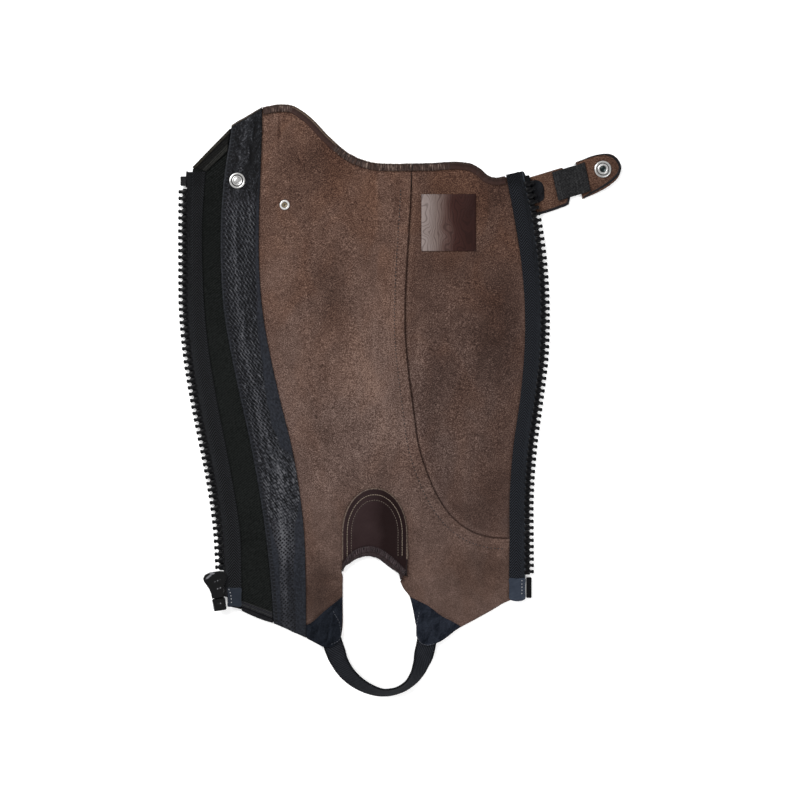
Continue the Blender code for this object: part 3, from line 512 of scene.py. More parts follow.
def suede(name, tones, level, patches, crinkle=None, seam=None, pricks=0):
    """Napped suede: short fuzzy grain, brushed patches, and crinkle lines painted dark as shade.

    Seam gives the painted shadow along the lapped edge, a dark line, and the painted highlight
    on a paler ridge beyond it.  Pricks is the shade of three rows of needle pricks beside it."""
    finish = Finish(name, Roughness=0.94, Sheen_Weight=0.05, Sheen_Roughness=0.6,
                    Sheen_Tint=(0.8, 0.62, 0.52, 1), Specular_IOR_Level=0.05)
    x, y = finish.part(0), finish.part(1)
    beyond, along = finish.cloth()
    coarse = finish.step(y, -190, -20) * 0.55 + 0.45
    nap, tuft = finish.noise(0.85, 0) * coarse, finish.noise(2.2, 1) * coarse
    tone = level + nap * 1.35 + tuft * 0.42 + finish.noise(7, 2, 0.6) * 0.28 \
        + finish.noise((24, 32), 3, 0.6, warp=0.8) * 0.42 + finish.noise(95) * 0.28
    relief = nap * 0.3 + tuft * 0.14
    for *spot, amount in patches:
        tone = tone + finish.spot(*spot) * amount
    if crinkle:
        at_x, at_y, wide, high, amount = crinkle
        zone = finish.band(x, at_x - wide, at_x - wide * 0.4, at_x + wide * 0.4, at_x + wide) \
            * finish.band(y, at_y - high, at_y - high * 0.6, at_y + high * 0.6, at_y + high)
        lines = finish.maths("ABSOLUTE", finish.noise((2.4, 46), 3, 0.6, warp=0.25))
        # Painted shade: the crinkle lines are darkened in colour as well as sunk in the bump.
        ridge = finish.step(lines, 0.055, 0) * finish.step(finish.noise(1.7, 0), -0.12, 0.14) * zone
        tone, relief = tone - ridge * amount, relief - ridge * amount * 0.9
    # Painted shadow along the lapped edge, and a painted highlight on the ridge beyond it.
    if seam:
        start, end, dark, pale = seam
        tone = tone - finish.band(beyond, start, start + 0.5, end, end + 0.4) * dark \
            + finish.band(beyond, 0.6, 1.6, 2, 7) * pale
    if pricks:
        row = finish.maths("PINGPONG", beyond + finish.noise((9, 26)) * 6, 2.1)
        dots = finish.maths("SINE", along * 2.7 + beyond * 1.1)
        tone = tone - finish.step(row, 0.75, 0.25) * finish.step(dots, 0.1, 0.7) \
            * finish.band(beyond, -18.5, -15.5, -6, -4) \
            * finish.band(along, -60, 40, 160, 205) * pricks
    colour = finish.ramp(tone, *((at, *c) for at, c in zip((0, 0.32, 0.5, 0.68, 1), tones)))
    warm = finish.step(finish.noise((34, 60), warp=0.8), -0.12, 0.2)
    knee = finish.step(y, -40, 220)
    colour = finish.blend(warm * (knee * 0.12 + 0.2) + knee * 0.42, colour, finish.ramp(
        tone, (0, 52, 31, 24), (0.5, 93, 64, 50), (1, 136, 100, 78)))
    return finish.wear(colour, relief)


def outer_leather():
    """The smooth grain side of the same leather, which faces the table."""
    finish = Finish("outer_grain_leather", Roughness=0.45)
    grain = finish.pebbles(1 / 0.9, 1 / 0.9)
    tone = finish.noise(40, 3) * 0.5 + grain * 0.3 + 0.4
    return finish.wear(finish.shades(tone, (46, 30, 26), (72, 50, 42)),
                       grain * 0.15 + finish.noise(6) * 0.1)


def cut_edge():
    """The raw cut side of the leather, a little lighter and hairy."""
    finish = Finish("leather_cut_edge", Roughness=0.9)
    return finish.wear(finish.shades(finish.noise(1.2, 3, 0.7) + 0.5, (92, 70, 58),
                                     (138, 112, 98), 0.25, 0.75), finish.noise(0.8) * 0.2)


FRONT_CREASES = (
    (-47, 141, -44, 34, 2.5, 0.34, 2.6), (-39, 150, -41, 62, -2, 0.26, 2.2),
    (-33.5, 128, -34.5, 10, 1.8, 0.36, 2.4), (-27, 96, -29, -40, -2.5, 0.30, 2.4),
    (-21, 138, -19.5, 44, 1.5, 0.24, 2), (-16, 60, -17.5, -62, 1.5, 0.28, 2.2),
    (-10.5, 112, -9, 18, -1, 0.20, 2), (-36, 20, -33, -74, 2, 0.26, 2.4),
    (-45, 18, -50, -66, -3, 0.22, 3), (-24, 30, -22, -70, 1, 0.18, 2),
    (-108, 262, -104, 212, 1, 0.25, 2.2), (-96, 40, -60, -60, 8, 0.45, 9),
    (-88, 190, -70, 90, -6, 0.5, 12), (-60, -90, -72, -180, -4, 0.4, 9),
    (20, -140, 70, -176, 5, 0.4, 9), (-116, 120, -108, 40, 2, 0.3, 7),
)
CALF_CREASES = (
    (28, 96, 44, 24, 5, 0.45, 9), (84, 150, 100, 70, -4, 0.4, 10),
    (60, 20, 84, -62, 6, 0.5, 11), (22, 190, 24, 120, 1.5, 0.3, 5),
    (104, 20, 92, -80, -5, 0.35, 8),
)
SEAM = ((10.8, 212), (9.8, 180), (7.6, 143), (5.2, 98), (4.9, 60), (7.6, 27),
        (11.6, -4), (17.8, -44), (24.5, -65), (34, -86), (46, -103),
        (60, -114.5), (76, -121), (96, -123.2))
seam_line = curve(SEAM, 1)
front_points, front_faces = upper_side("front_panel")
front_outline = front_points[outlines(front_faces)[0], :2]


def beyond_seam(flat):
    """How far each place is beyond the lapped edge, in mm, and its height up the chap."""
    away = distance_to(flat, seam_line)[0]
    return np.column_stack([np.where(inside(flat, front_outline), -away, away), flat[:, 1]])


outer_side, raw_edge = outer_leather(), cut_edge()
front_suede = suede(
    "front_panel_suede_nap",
    ((52, 39, 35), (74, 58, 52), (90, 72, 65), (105, 85, 78), (137, 116, 107)), 0.50,
    patches=((-104, 130, 26, 50, 0.12), (-24, 20, 44, 130, 0.25),
             (-94, -6, 26, 60, 0.12), (-70, 212, 44, 44, -0.25),
             (-70, -60, 60, 70, 0.04), (-110, -60, 30, 60, -0.08),
             (-72, -172, 34, 44, -0.30), (70, -150, 60, 30, -0.08),
             (-60, 96, 26, 60, -0.20), (-104, 206, 24, 44, -0.10),
             (-6, 90, 12, 70, 0.14), (28, -148, 22, 30, 0.11),
             # The narrow dark oval at x -107.6 is painted shade along the crease there.
             (-107.6, 238, 2, 28, -0.30), (-97.5, 188, 1.6, 30, -0.12),
             (-93, 178, 1.4, 26, -0.10), (-101, 196, 1.4, 22, 0.10)),
    crinkle=(-24, 12, 26, 125, 0.16), seam=(-0.9, 3, 0.3, 0),
    pricks=0.3)
calf_suede = suede(
    "calf_panel_suede_nap",
    ((46, 34, 31), (66, 51, 46), (77, 61, 56), (92, 74, 68), (126, 106, 98)), 0.45,
    patches=((88, 66, 34, 70, -0.26), (34, 120, 30, 50, -0.08),
             (60, 40, 26, 50, 0.06), (50, -52, 34, 40, 0.12),
             (84, -84, 26, 34, -0.10), (84, 186, 34, 30, -0.22),
             (18, 40, 12, 60, 0.26), (112, 60, 8, 130, 0.10)),
    seam=(-3, 0.5, 0.24, 0.16))

cut_sheet("front_panel_leather", "front_panel", 1.5, 2.1, (front_suede, raw_edge, outer_side),
          (245, 483), 61100, lambda xy: creased(xy, FRONT_CREASES) + 0.12 * wander(xy, 24, 3),
          beyond_seam, rests_on=("table", "calf_panel_leather"))
cut_sheet("calf_panel_leather", "calf_panel", 1.5, 2.3, (calf_suede, raw_edge, outer_side),
          (131, 347), 37600, lambda xy: creased(xy, CALF_CREASES) + 0.1 * wander(xy, 24, 5),
          beyond_seam)


# ---- Stitches on the lapped seam ----
# One row of brown thread beside the lapped edge of the front panel: short arched threads, each
# sunk in the leather at both ends.
THREAD_RINGS, THREAD_SIDES = 5, 6


def line_beside(line, distance):
    """The line moved to the right of the way that it runs."""
    return line + normals(line) * distance


def ring(at, side, z, wide, tall, around, power=1):
    """Points round an upright oval across a line.  A power below 1 squares it off."""
    angle = np.linspace(0, 2 * math.pi, around, endpoint=False)
    u, v = (np.sign(w) * np.abs(w) ** power for w in (np.cos(angle), np.sin(angle)))
    return np.column_stack([at + np.outer(u * wide, side), z + v * tall])


def tubes(name, runs, material, node=None):
    """One mesh of closed tubes, each a run of rings of points."""
    points, faces = [], []
    for rings in runs:
        first, around = len(points), len(rings[0])
        last = first + (len(rings) - 1) * around
        points += [point for ring in rings for point in ring]
        faces += [(k + j, k + (j + 1) % around, k + around + (j + 1) % around, k + around + j)
                  for k in range(first, last, around) for j in range(around)]
        faces += [tuple(range(first, first + around))[::-1], tuple(range(last, last + around))]
    item = mesh_object(name, points, faces, (material,))
    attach(item, "root")
    if node:
        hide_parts(node)


def stitches(name, line, height, pitch, length, radius, material, slot, sink=0.15):
    """A row of short threads, each arched a little and sunk at both ends."""
    along = run_of(line)
    places = np.arange(pitch / 2, along[-1] - pitch / 2, pitch)
    rng = np.random.default_rng(len(name))
    places = places + rng.uniform(-0.05, 0.05, len(places)) * pitch
    share, threads = np.linspace(-0.5, 0.5, THREAD_RINGS), []
    for place in places:
        middle = np.stack([np.interp(place + share * length, along, line[:, k]) for k in (0, 1)],
                          axis=1) + rng.normal(0, radius * 0.12, 2)
        heading = middle[-1] - middle[0]
        side = np.array([-heading[1], heading[0]]) / max(np.linalg.norm(heading), 1e-6)
        arch = height(middle[[THREAD_RINGS // 2]])[0] - sink + radius * (0.9 * np.cos(share * math.pi) - 0.5)
        fat = np.where(np.abs(share) < 0.4, radius, radius * 0.72)
        threads.append([ring(at, side, z, r, r, THREAD_SIDES) for at, z, r in zip(middle, arch, fat)])
    tubes(name, threads, material)


def thread(name, dark, light):
    """Twisted sewing thread."""
    finish = Finish(name, Roughness=0.6)
    twist = finish.noise(0.5)
    return finish.wear(finish.shades(twist + 0.5, dark, light, 0.3, 0.7), twist * 0.08)


stitches("seam_stitches_outer", line_beside(seam_line, 9.2)[24:], surface("front_panel"), 3.3, 1.9,
         0.46, thread("seam_thread_brown", (24, 15, 12), (46, 32, 27)), "front_panel_suede")


# ---- Stretch panel and its hems ----
# Black knitted elastic cloth between the zip and the front panel.  Its raw ends are folded in a
# narrow hem at the knee and at the foot.
KNIT_RIBS, KNIT_TURN, KNIT_LOOPS, LOOPS_TURN = 0.175, 52, (1.2, 1.9), -40
BAND_ROWS, HEM_COLUMNS = 7, 48


def stretch_knit(name, dark, light, folds=(), ribbed=0.8):
    """Fine diagonal ribs of a firm stretch knit, worn pale along its folds (x, y at both ends)."""
    finish = Finish(name, Roughness=0.92, Specular_IOR_Level=0.05)
    rib = finish.ribs(KNIT_RIBS, KNIT_TURN, loose=0.8, fine=4)
    loops = finish.noise(KNIT_LOOPS, turn=LOOPS_TURN)
    tone = rib * ribbed + loops * 2.4 + finish.noise(34) * 0.4 + 0.48 - ribbed * 0.5 \
        - finish.step(finish.part(1), 20, 180) * 0.22
    for fold in folds:
        away = finish.maths("ABSOLUTE", finish.from_line(*fold))
        tone = tone + finish.step(away, 0.8, 0.1) * (finish.noise(3) + 0.35)
    return finish.wear(finish.shades(tone, dark, light, 0, 1), rib * 0.10 + loops * 0.12)


STRETCH_CREASES = (
    (-170, 190, -162, 120, 2, 0.35, 5), (-166, 60, -152, -20, -2, 0.3, 5),
    (-140, -60, -132, -140, 2, 0.3, 5), (-150, 20, -140, -50, 1, 0.25, 4),
)
cut_sheet("stretch_panel_cloth", "stretch_panel", 1.2, 2.4,
          stretch_knit("stretch_panel_knit", (9, 11, 10), (35, 37, 36)), (93, 462), 23900,
          lambda xy: creased(xy, STRETCH_CREASES), held="stretched")


def grid_faces(rows, columns):
    """Four-sided faces between rows of points, row after row."""
    return [(k + c, k + columns + c, k + columns + c + 1, k + c + 1)
            for k in range(0, (rows - 1) * columns, columns) for c in range(columns - 1)]


def folded_band(name, node, edge, fold, leaf, material, flat, rests_on, relief=None, corner=1.5,
                back=0.85):
    """Binding or hem folded round an edge: from its upper cut side over to its lower one.

    Relief gives how far the cloth stands out, from the mm along and the mm across it."""
    over, under = surface(node), surface(node, -1)
    width = np.linalg.norm(fold - edge, axis=1)
    heading = (fold - edge) / width[:, None]
    along, count, rows = run_of(edge), len(edge), []
    top, low = over(edge + heading * corner), under(edge + heading * corner)

    def lay(height, reach, shares, up):
        for share in shares:
            xy = edge + heading * (corner + (width * reach - corner) * share)[:, None]
            rows.append((xy, height(xy), np.zeros_like(edge), np.full(count, up)))

    lay(over, 1, np.linspace(1, 0, BAND_ROWS), 1)
    for angle in np.linspace(math.pi / 2, -math.pi / 2, BAND_ROWS)[1:-1]:
        rows.append((edge + heading * (corner * (1 - math.cos(angle))),
                     (top + low) / 2 + (top - low) / 2 * math.sin(angle),
                     -heading * math.cos(angle), np.full(count, math.sin(angle))))
    lay(under, back, np.linspace(0, 1, BAND_ROWS), -1)
    across, before, points, uv = np.zeros(count), np.column_stack(rows[0][:2]), [], []
    for xy, z, out_xy, out_z in rows:
        here = np.column_stack([xy, z])
        across = across + np.linalg.norm(here - before, axis=1)
        before = here
        stand = relief(along, across) if relief else np.zeros(count)
        points.append(here + np.column_stack([out_xy, out_z]) * stand[:, None])
        uv.append(np.column_stack([across, along]))
    points, faces = np.concatenate(points), grid_faces(len(rows), count)
    first = points[list(faces[0])]
    if np.cross(first[1] - first[0], first[2] - first[0])[2] < 0:
        faces = [face[::-1] for face in faces]
    item = mesh_object(name, points, faces, (material,), np.concatenate(uv))
    thickened(item, leaf)
    fitted(item, node, flat, rests_on=rests_on, held="folded")


def hem_cloth(name, edge, fold_shade, knit_shades, rows_at):
    """The turned hem: a worn roll along the fold, a groove painted dark as shade, and rows of light
    stitches.
    """
    finish = Finish(name, Roughness=0.9, Specular_IOR_Level=0.06)
    inward = finish.from_line(*edge[0], *edge[-1])
    rib, loops = finish.ribs(KNIT_RIBS, KNIT_TURN), finish.noise(KNIT_LOOPS, turn=LOOPS_TURN)
    colour = finish.shades(rib * 0.5 + loops * 1.4 + 0.2, *knit_shades, 0, 1)
    colour = finish.over(colour, finish.step(inward, 3.3, 2.4) * 0.8, finish.noise(2.4, 3) * 1.6
                         + 0.5, [c * 0.5 for c in fold_shade], fold_shade, 0.1, 0.9)
    # Painted shade in the groove beside the roll.
    groove, rows = finish.band(inward, 2.7, 3.2, 3.6, 4.2), 0
    colour = finish.over(colour, groove * 0.85, loops + 0.5, (4, 4, 4), (10, 10, 10), 0, 1)
    for row in rows_at:
        rows = rows + finish.band(inward, row - 0.75, row, row, row + 0.75)
    colour = finish.over(colour, rows * 0.55, loops * 1.4 + 0.5, (38, 38, 36), (78, 78, 74), 0, 1)
    return finish.wear(colour, rib * 0.1 + loops * 0.12 - groove * 0.35 + rows * 0.12)


def spread(points, count):
    """That many points, evenly along a smooth line through the given ones."""
    line = curve(points, 0.2)
    return line[np.linspace(0, len(line) - 1, count).round().astype(int)]


STRETCH_TOP = ((-184.7, 207.8), (-151, 242.4))
STRETCH_TOP_FOLD = ((-172.2, 203.9), (-153.2, 221.6))
STRETCH_FOOT = ((-140.2, -187.2), (-128.6, -192.7), (-118.8, -196.5), (-112.8, -198.2))
STRETCH_FOOT_FOLD = ((-140.2, -178), (-127, -183), (-113.2, -188.2))
for name, node, edge, fold, start_to_end, *shades, flat in (
        ("knee_hem", "stretch_top_hem", STRETCH_TOP, STRETCH_TOP_FOLD, STRETCH_TOP,
         (60, 56, 49), ((7, 7, 7), (31, 31, 30)), (9.2, 10.8, 12), (26, 48)),
        ("foot_hem", "stretch_foot_hem", STRETCH_FOOT, STRETCH_FOOT_FOLD, STRETCH_FOOT[::-1],
         (36, 36, 39), ((20, 20, 23), (50, 50, 54)), (5.6, 8.7), (22, 29.6))):
    folded_band(name, node, spread(edge, HEM_COLUMNS), spread(fold, HEM_COLUMNS), 0.9,
                hem_cloth(name + "_knit", start_to_end, *shades), flat, ("stretch_panel_cloth",))


# ---- Facing strip ----
# A soft grey-black synthetic strip over the joint of stretch panel and front panel.  Its face is
# wrinkled at the knee, pitted in slanting rows in the middle and pebbled towards the foot.
STRIP_LEFT = ((280, -146), (240, -150), (200, -155.8), (160, -159), (120, -159.2),
              (80, -156.5), (40, -149.8), (0, -141.4), (-40, -132.6), (-80, -125.2),
              (-120, -119.3), (-160, -114.9), (-200, -112.1), (-240, -110))


def upright(table):
    """The x of an upright line, from rows of (y, x), for any heights."""
    rows = np.array(table[::-1], float)
    return lambda y: hermite(rows[:, 1:], rows[:, 0], np.asarray(y, float))[:, 0]


def beside_upright(table):
    """Places along a strip: mm across from that upright line, and the height up the chap."""
    line = upright(table)
    return lambda xy: np.column_stack([xy[:, 0] - line(xy[:, 1]), xy[:, 1]])


def strip_relief(xy):
    across = beside_upright(STRIP_LEFT)(xy)
    turned = np.column_stack([across[:, 0] * 0.5 + across[:, 1] * 0.87,
                              across[:, 1] * 0.5 - across[:, 0] * 0.87])
    knee = np.clip((xy[:, 1] - 140) / 50, 0, 1)
    middle = np.clip(1.4 - np.abs(xy[:, 1] - 60) / 110, 0, 1)
    keep = np.clip((34 - across[:, 0]) / 5, 0, 1) * np.clip(across[:, 0] / 4, 0, 1)
    wrinkles = wander(across * (1, 0.35), 3.4, 11) * 0.35 * knee
    slant = wander(turned * (0.45, 1), 2.6, 12) * 0.22 * middle
    deep = creased(xy, ((-128, 256, -129, 226, -1, 0.8, 1.6),
                        (-131, 232, -132.5, 198, 1, 0.9, 1.5),
                        (-139, 250, -144, 214, 1, 0.6, 1.7),
                        (-148, 226, -150, 176, -1, 0.4, 1.6)))
    return (wrinkles + slant + deep) * keep


STRIP_TOP = ((-149.6, 245.2), (-122.4, 261.2))


def wrinkled_facing():
    """Smooth along both sides, and wrinkled, pitted or pebbled between them, with the light and shade of
    these painted into the colour.
    """
    finish = Finish("facing_wrinkled", Roughness=0.62, Specular_IOR_Level=0.12)
    across, height = finish.cloth()

    def limit(*stops):
        """How far across the wrinkles reach, in mm, from rows of height and reach."""
        scaled = [((y + 220) / 480, (x / 50,) * 3 + (1,)) for y, x in stops]
        up = finish.step(height, -220, 260, smooth=False)
        return finish.node("SeparateColor", values={0: finish.ramp(up, *scaled)}) * 50

    def hollows(wide, long, turn, low, high, loose):
        """Small hollows, painted dark as shade, one in each cell of that size, longer one way than the
        other.
        """
        return finish.step(finish.pebbles(wide, long, turn, True, "F1", loose), high, low)

    right = limit((-200, 20), (-150, 21.4), (-115, 27), (-64, 42), (-52, 40), (-42, 26), (-17, 22.5),
                  (9, 23.7), (36, 26.7), (62, 27.5), (89, 31), (134, 31.4), (250, 31))
    left = limit((-200, 6), (-165, 8), (-135, 9.3), (-105, 4), (-90, 2.5), (250, 2.5))
    waver = finish.noise((6, 14), on_cloth=True) * 3
    smooth_side = finish.step(across + waver - right, -0.8, 0.8) + \
        finish.step(left - across - waver * 0.5, -0.8, 0.8)
    knee = finish.step(height, 168, 190)
    beads = finish.step(height, -24, -72)
    slits = finish.step(height, -100, -124)
    threads = finish.noise((1.25, 5), 0, turn=-32, on_cloth=True)
    over, down = finish.cloth(-32)
    sway = finish.noise((6, 9), 1, on_cloth=True)
    rows = finish.maths("SINE", over * 2.4 + sway * 7)
    breaks = finish.maths("SINE", down * 1.7 + over * 1.3 + finish.noise(4, on_cloth=True) * 8)
    dashes = rows * 0.12 + rows * breaks * 0.13 - breaks * 0.03
    pebbles = hollows(2.1, 2.6, -24, 0.34, 0.68, 0.45) * 0.2 - 0.09 + threads * 0.2
    cuts = hollows(2.2, 3, 48, 0.08, 0.5, 0.3) * -0.8 + 0.2
    crumple = finish.noise((2.4, 3.8), 3, 0.75, on_cloth=True, warp=1.4) * 2.2
    middle = dashes * (1 - beads) + pebbles * beads + threads * 0.34
    lower = middle * (1 - slits) + cuts * 0.46 * slits
    # Painted light and shade: the folds lighten the raised wrinkles and darken the hollows, pits and slits,
    # in colour as in the bump.
    folds = (lower * (1 - knee) + crumple * 0.62 * knee) * (1 - smooth_side * (0.7 + knee * 0.3))
    # Painted highlight: a light band along a raised ridge down the strip, among lighter and darker streaks.
    ridge = limit((-200, 11), (-142, 13), (-100, 17), (-62, 20.5), (-20, 15), (45, 13),
                  (130, 12), (250, 12))
    ridge = finish.step(finish.maths("ABSOLUTE", across - ridge + finish.noise(
        (4, 30), 1, on_cloth=True) * 8), 5.5, 0.5)
    streak = finish.noise((4, 60), 1, on_cloth=True) * 0.6 + ridge * (0.2 + slits * 0.16)
    # Painted shade in the deep creases at the knee (negative amounts) and painted highlights on ridges down
    # the strip (positive ones).
    deep = 0
    for *spot, amount in (
            (-128.4, 244, 2, 15, 4, -0.5), (-131.8, 217, 2.1, 19, -3, -0.5),
            (-133.6, 170, 1.5, 36, -6, 0.3), (-144, 232, 3, 16, -20, -0.15),
            (-151, 200, 2.2, 26, -3, -0.16), (-139.5, 60, 1.4, 60, 3, 0.22),
            (-143, 20, 1.2, 60, -9, 0.18), (-146, 120, 1.3, 50, -2, 0.16)):
        deep = deep + finish.spot(*spot) * amount
    foot = finish.step(height, -128, -160)
    tone = 0.24 + beads * (1 - slits) * 0.11 + slits * 0.1 - foot * 0.3 - knee * 0.08 + folds * 2.4 \
        + streak * (1 - smooth_side) + deep + finish.noise(26) * 0.25 + finish.noise(1.5) * 0.6
    colour = finish.ramp(tone, (0, 8, 8, 11), (0.3, 30, 31, 35), (0.55, 53, 54, 59),
                         (1, 98, 98, 102))
    colour = finish.over(colour, smooth_side * 0.8 + foot * 0.35, finish.noise(1.9, 3, 0.6) * 2.4
                         + deep + folds + 0.46 - knee * 0.4 - foot * 0.16,
                         (23, 25, 31), (47, 50, 58), 0.1, 0.9)
    colour = finish.over(colour, finish.step(across, 2.2, 1.6) * 0.85,
                         finish.noise(1.4, 1) * 2.2 + 0.5, (14, 15, 18), (42, 44, 49))
    # Painted shade in the stitched groove, with its stitches lighter.
    groove = finish.band(across, 1.7, 2.2, 3.6, 4.2)
    stitch = finish.step(finish.maths("SINE", height * 1.9), 0.3, 0.7)
    colour = finish.over(colour, groove * 0.85, stitch * 0.5 + finish.noise(1.2) * 0.5 + 0.25,
                         (10, 11, 13), (44, 46, 52))
    inward = finish.from_line(*STRIP_TOP[0], *STRIP_TOP[1])
    colour = finish.over(colour, finish.step(inward, 2.4, 1.6) * 0.8, finish.noise(1.4) + 0.5,
                         (10, 10, 12), (26, 25, 26))
    colour = finish.over(colour, finish.step(inward, 1.3, 0.8) * 0.8,
                         finish.noise(1.4) * 1.5 + 0.5, (58, 50, 44), (118, 108, 98))
    return finish.wear(colour, folds * 1.5 + streak * 0.5 + deep * 1.2 - groove * 0.4
                       + finish.noise(0.9) * 0.08)


cut_sheet("facing_strip_cloth", "facing_strip", 1, 1.25, wrinkled_facing(), (36, 474),
          15300, strip_relief, beside_upright(STRIP_LEFT), rounds=6,
          rests_on=("stretch_panel_cloth", "front_panel_leather"))


# ---- Inside label ----
# A square of satin ribbon sewn inside the knee end of the calf panel, left bare, pale at the
# front and dark brown towards the back.
def label_satin():
    """Satin with a fine wavy figure like wood grain, pale and then quickly dark."""
    finish = Finish("label_satin", Roughness=0.5, Specular_IOR_Level=0.12)
    x, field = finish.part(0), finish.noise((15, 22), 1, 0.4, warp=0.4)
    figure, fine = finish.maths("SINE", x * 1.9 + field * 62), finish.noise((0.9, 14), 2, 0.6)
    tone = finish.step(x + figure * 1.1 + fine * 8 + field * 15, 19, 65, smooth=False)
    bare = finish.ramp(tone, (0, 144, 131, 127), (0.3, 120, 105, 100), (0.5, 90, 69, 64),
                       (0.66, 58, 33, 29), (1, 42, 20, 17))
    lined = finish.ramp(tone, (0, 104, 91, 88), (0.4, 70, 52, 48), (0.66, 40, 20, 17),
                        (1, 36, 16, 13))
    return finish.wear(finish.blend(finish.step(figure, -0.3, -0.95) * 0.75, bare, lined),
                       finish.ribs(0.2, run="Y") * 0.03 + figure * 0.03)


cut_sheet("label_ribbon", "inside_label", 0.5, 1.6, label_satin(), (48.6, 50.8),
          relief=lambda xy: 0.06 * wander(xy, 9, 21), border=0.5, roll=0.15,
          rests_on=("calf_panel_leather",))


# ---- Bindings of the knee edge and the arch ----
# Narrow strips of dark brown leather folded round the raw edges and sewn through.  Drawn tight
# round the curves, they pucker in small gathers across the strip.
KNEE_EDGE_FRONT = ((-122, 261.4), (-106.4, 263.9), (-95.7, 263), (-88.6, 259.4),
                   (-79.7, 252.8), (-61.9, 234.5), (-44.1, 219.8), (-26.3, 212.7),
                   (-8.5, 211.1), (11.1, 211.3))
KNEE_EDGE_CALF = ((11.3, 211.3), (27, 211.6), (56.5, 212.3), (65.4, 210.5), (71.6, 206.9),
                  (80.5, 199.8), (85, 198.6), (93.7, 199.9))
ARCH_EDGE = ((-50.3, -152.6), (-48.5, -148.2), (-44.1, -145.1), (-39.6, -142),
             (-35.2, -140.2), (-28.9, -138.8), (-24.5, -139.3), (-19.1, -141.1),
             (-12.9, -145.5), (-6.7, -150.4), (-0.6, -155), (0.4, -159.8))
ARCH_FOLD = ((-51.3, -147.6), (-47, -139.8), (-41, -134), (-33.5, -130.6),
             (-26, -129.6), (-17.4, -131.7), (-8.5, -137.5), (-2.2, -142.9),
             (2.4, -147.4), (6.6, -151.6))


def gathers(seed, amount, calm=()):
    """Small puckers across the strip, uneven in pitch and depth, and fewer where it is calm."""
    def relief(along, across):
        bend = along + 0.5 * wander(np.column_stack([along, across]), 5, seed)
        ridges = (wander(np.column_stack([bend, across * 0.2]), 1.5, seed + 1)
                  + 0.5 * wander(np.column_stack([bend, across * 0.4]), 0.9, seed + 2))
        quiet = np.ones(len(along))
        for start, end in calm:
            quiet *= 1 - 0.8 * np.clip((along - start) / 6, 0, 1) * np.clip((end - along) / 6, 0, 1)
        rise = np.clip(across / 1.5, 0, 1)
        return amount * ridges * quiet * rise
    return relief


def binding_leather(name, tones, outer, calm=None, gather_shading=2.3, ribs=0):
    """Thin brown leather: a pale line on the outer fold, from wear and painted highlight, painted light and
    shade where it is gathered, and painted shade in its groove.

    Between the two calm places along it (mm) it lies smooth, darker and redder."""
    finish = Finish(name, Roughness=0.5, Specular_IOR_Level=0.14)
    (across, along), smooth = finish.cloth(), 0
    if calm:
        start, end = calm
        smooth = finish.band(along, start - 3, start + 3, end - 3, end + 3)
    pucker = finish.noise((9, 1.15), 1, 0.5, on_cloth=True, warp=0.2) \
        + finish.noise((7, 2.9), 1, on_cloth=True) * 0.5
    patchy = finish.step(finish.noise((30, 14), 1, on_cloth=True), -0.16, 0.10) * 0.6 + 0.4
    grain = finish.noise(1.4, 2, 0.6)
    # Painted light and shade of the gathers: their ridges lighter and their folds darker, in colour as in
    # the bump.
    gather_light_and_shade = pucker * patchy * (1 - smooth)
    if ribs:
        regular = finish.maths("SINE", along * 3.3 + finish.noise((9, 12), on_cloth=True) * 5)
        gather_light_and_shade = gather_light_and_shade + regular * finish.band(across, 0.8, 1.6, 3.8, 4.6) * ribs
    tone = 0.42 + gather_light_and_shade * gather_shading + grain * 0.7
    colour = finish.ramp(tone, *((at, *c) for at, c in zip((0, 0.42, 0.72, 1), tones)))
    colour = finish.over(colour, smooth * 0.85, grain * 0.8 + finish.step(across, 5.4, 1) * 0.5
                         + 0.25, (32, 17, 15), (58, 38, 33))
    # Painted shade in the groove.
    groove = finish.band(across, 5, 5.5, 6, 6.5)
    colour = finish.over(colour, groove * 0.75, grain + 0.5, (28, 18, 16), (46, 32, 29), 0, 1)
    # A pale line on the outer fold: wear and painted highlight.
    wear_and_highlight = finish.shades(grain * 1.4 + gather_light_and_shade + 0.5, *outer, 0.1, 0.9)
    colour = finish.blend(finish.band(across, 6.1, 6.5, 8.8, 9.4) * 0.7, colour, wear_and_highlight)
    colour = finish.blend(finish.band(across, 4.6, 5, 5.4, 5.9) * smooth * 0.8, colour, wear_and_highlight)
    return finish.wear(colour, gather_light_and_shade * 1.2 + grain * 0.08 - groove * 0.25)


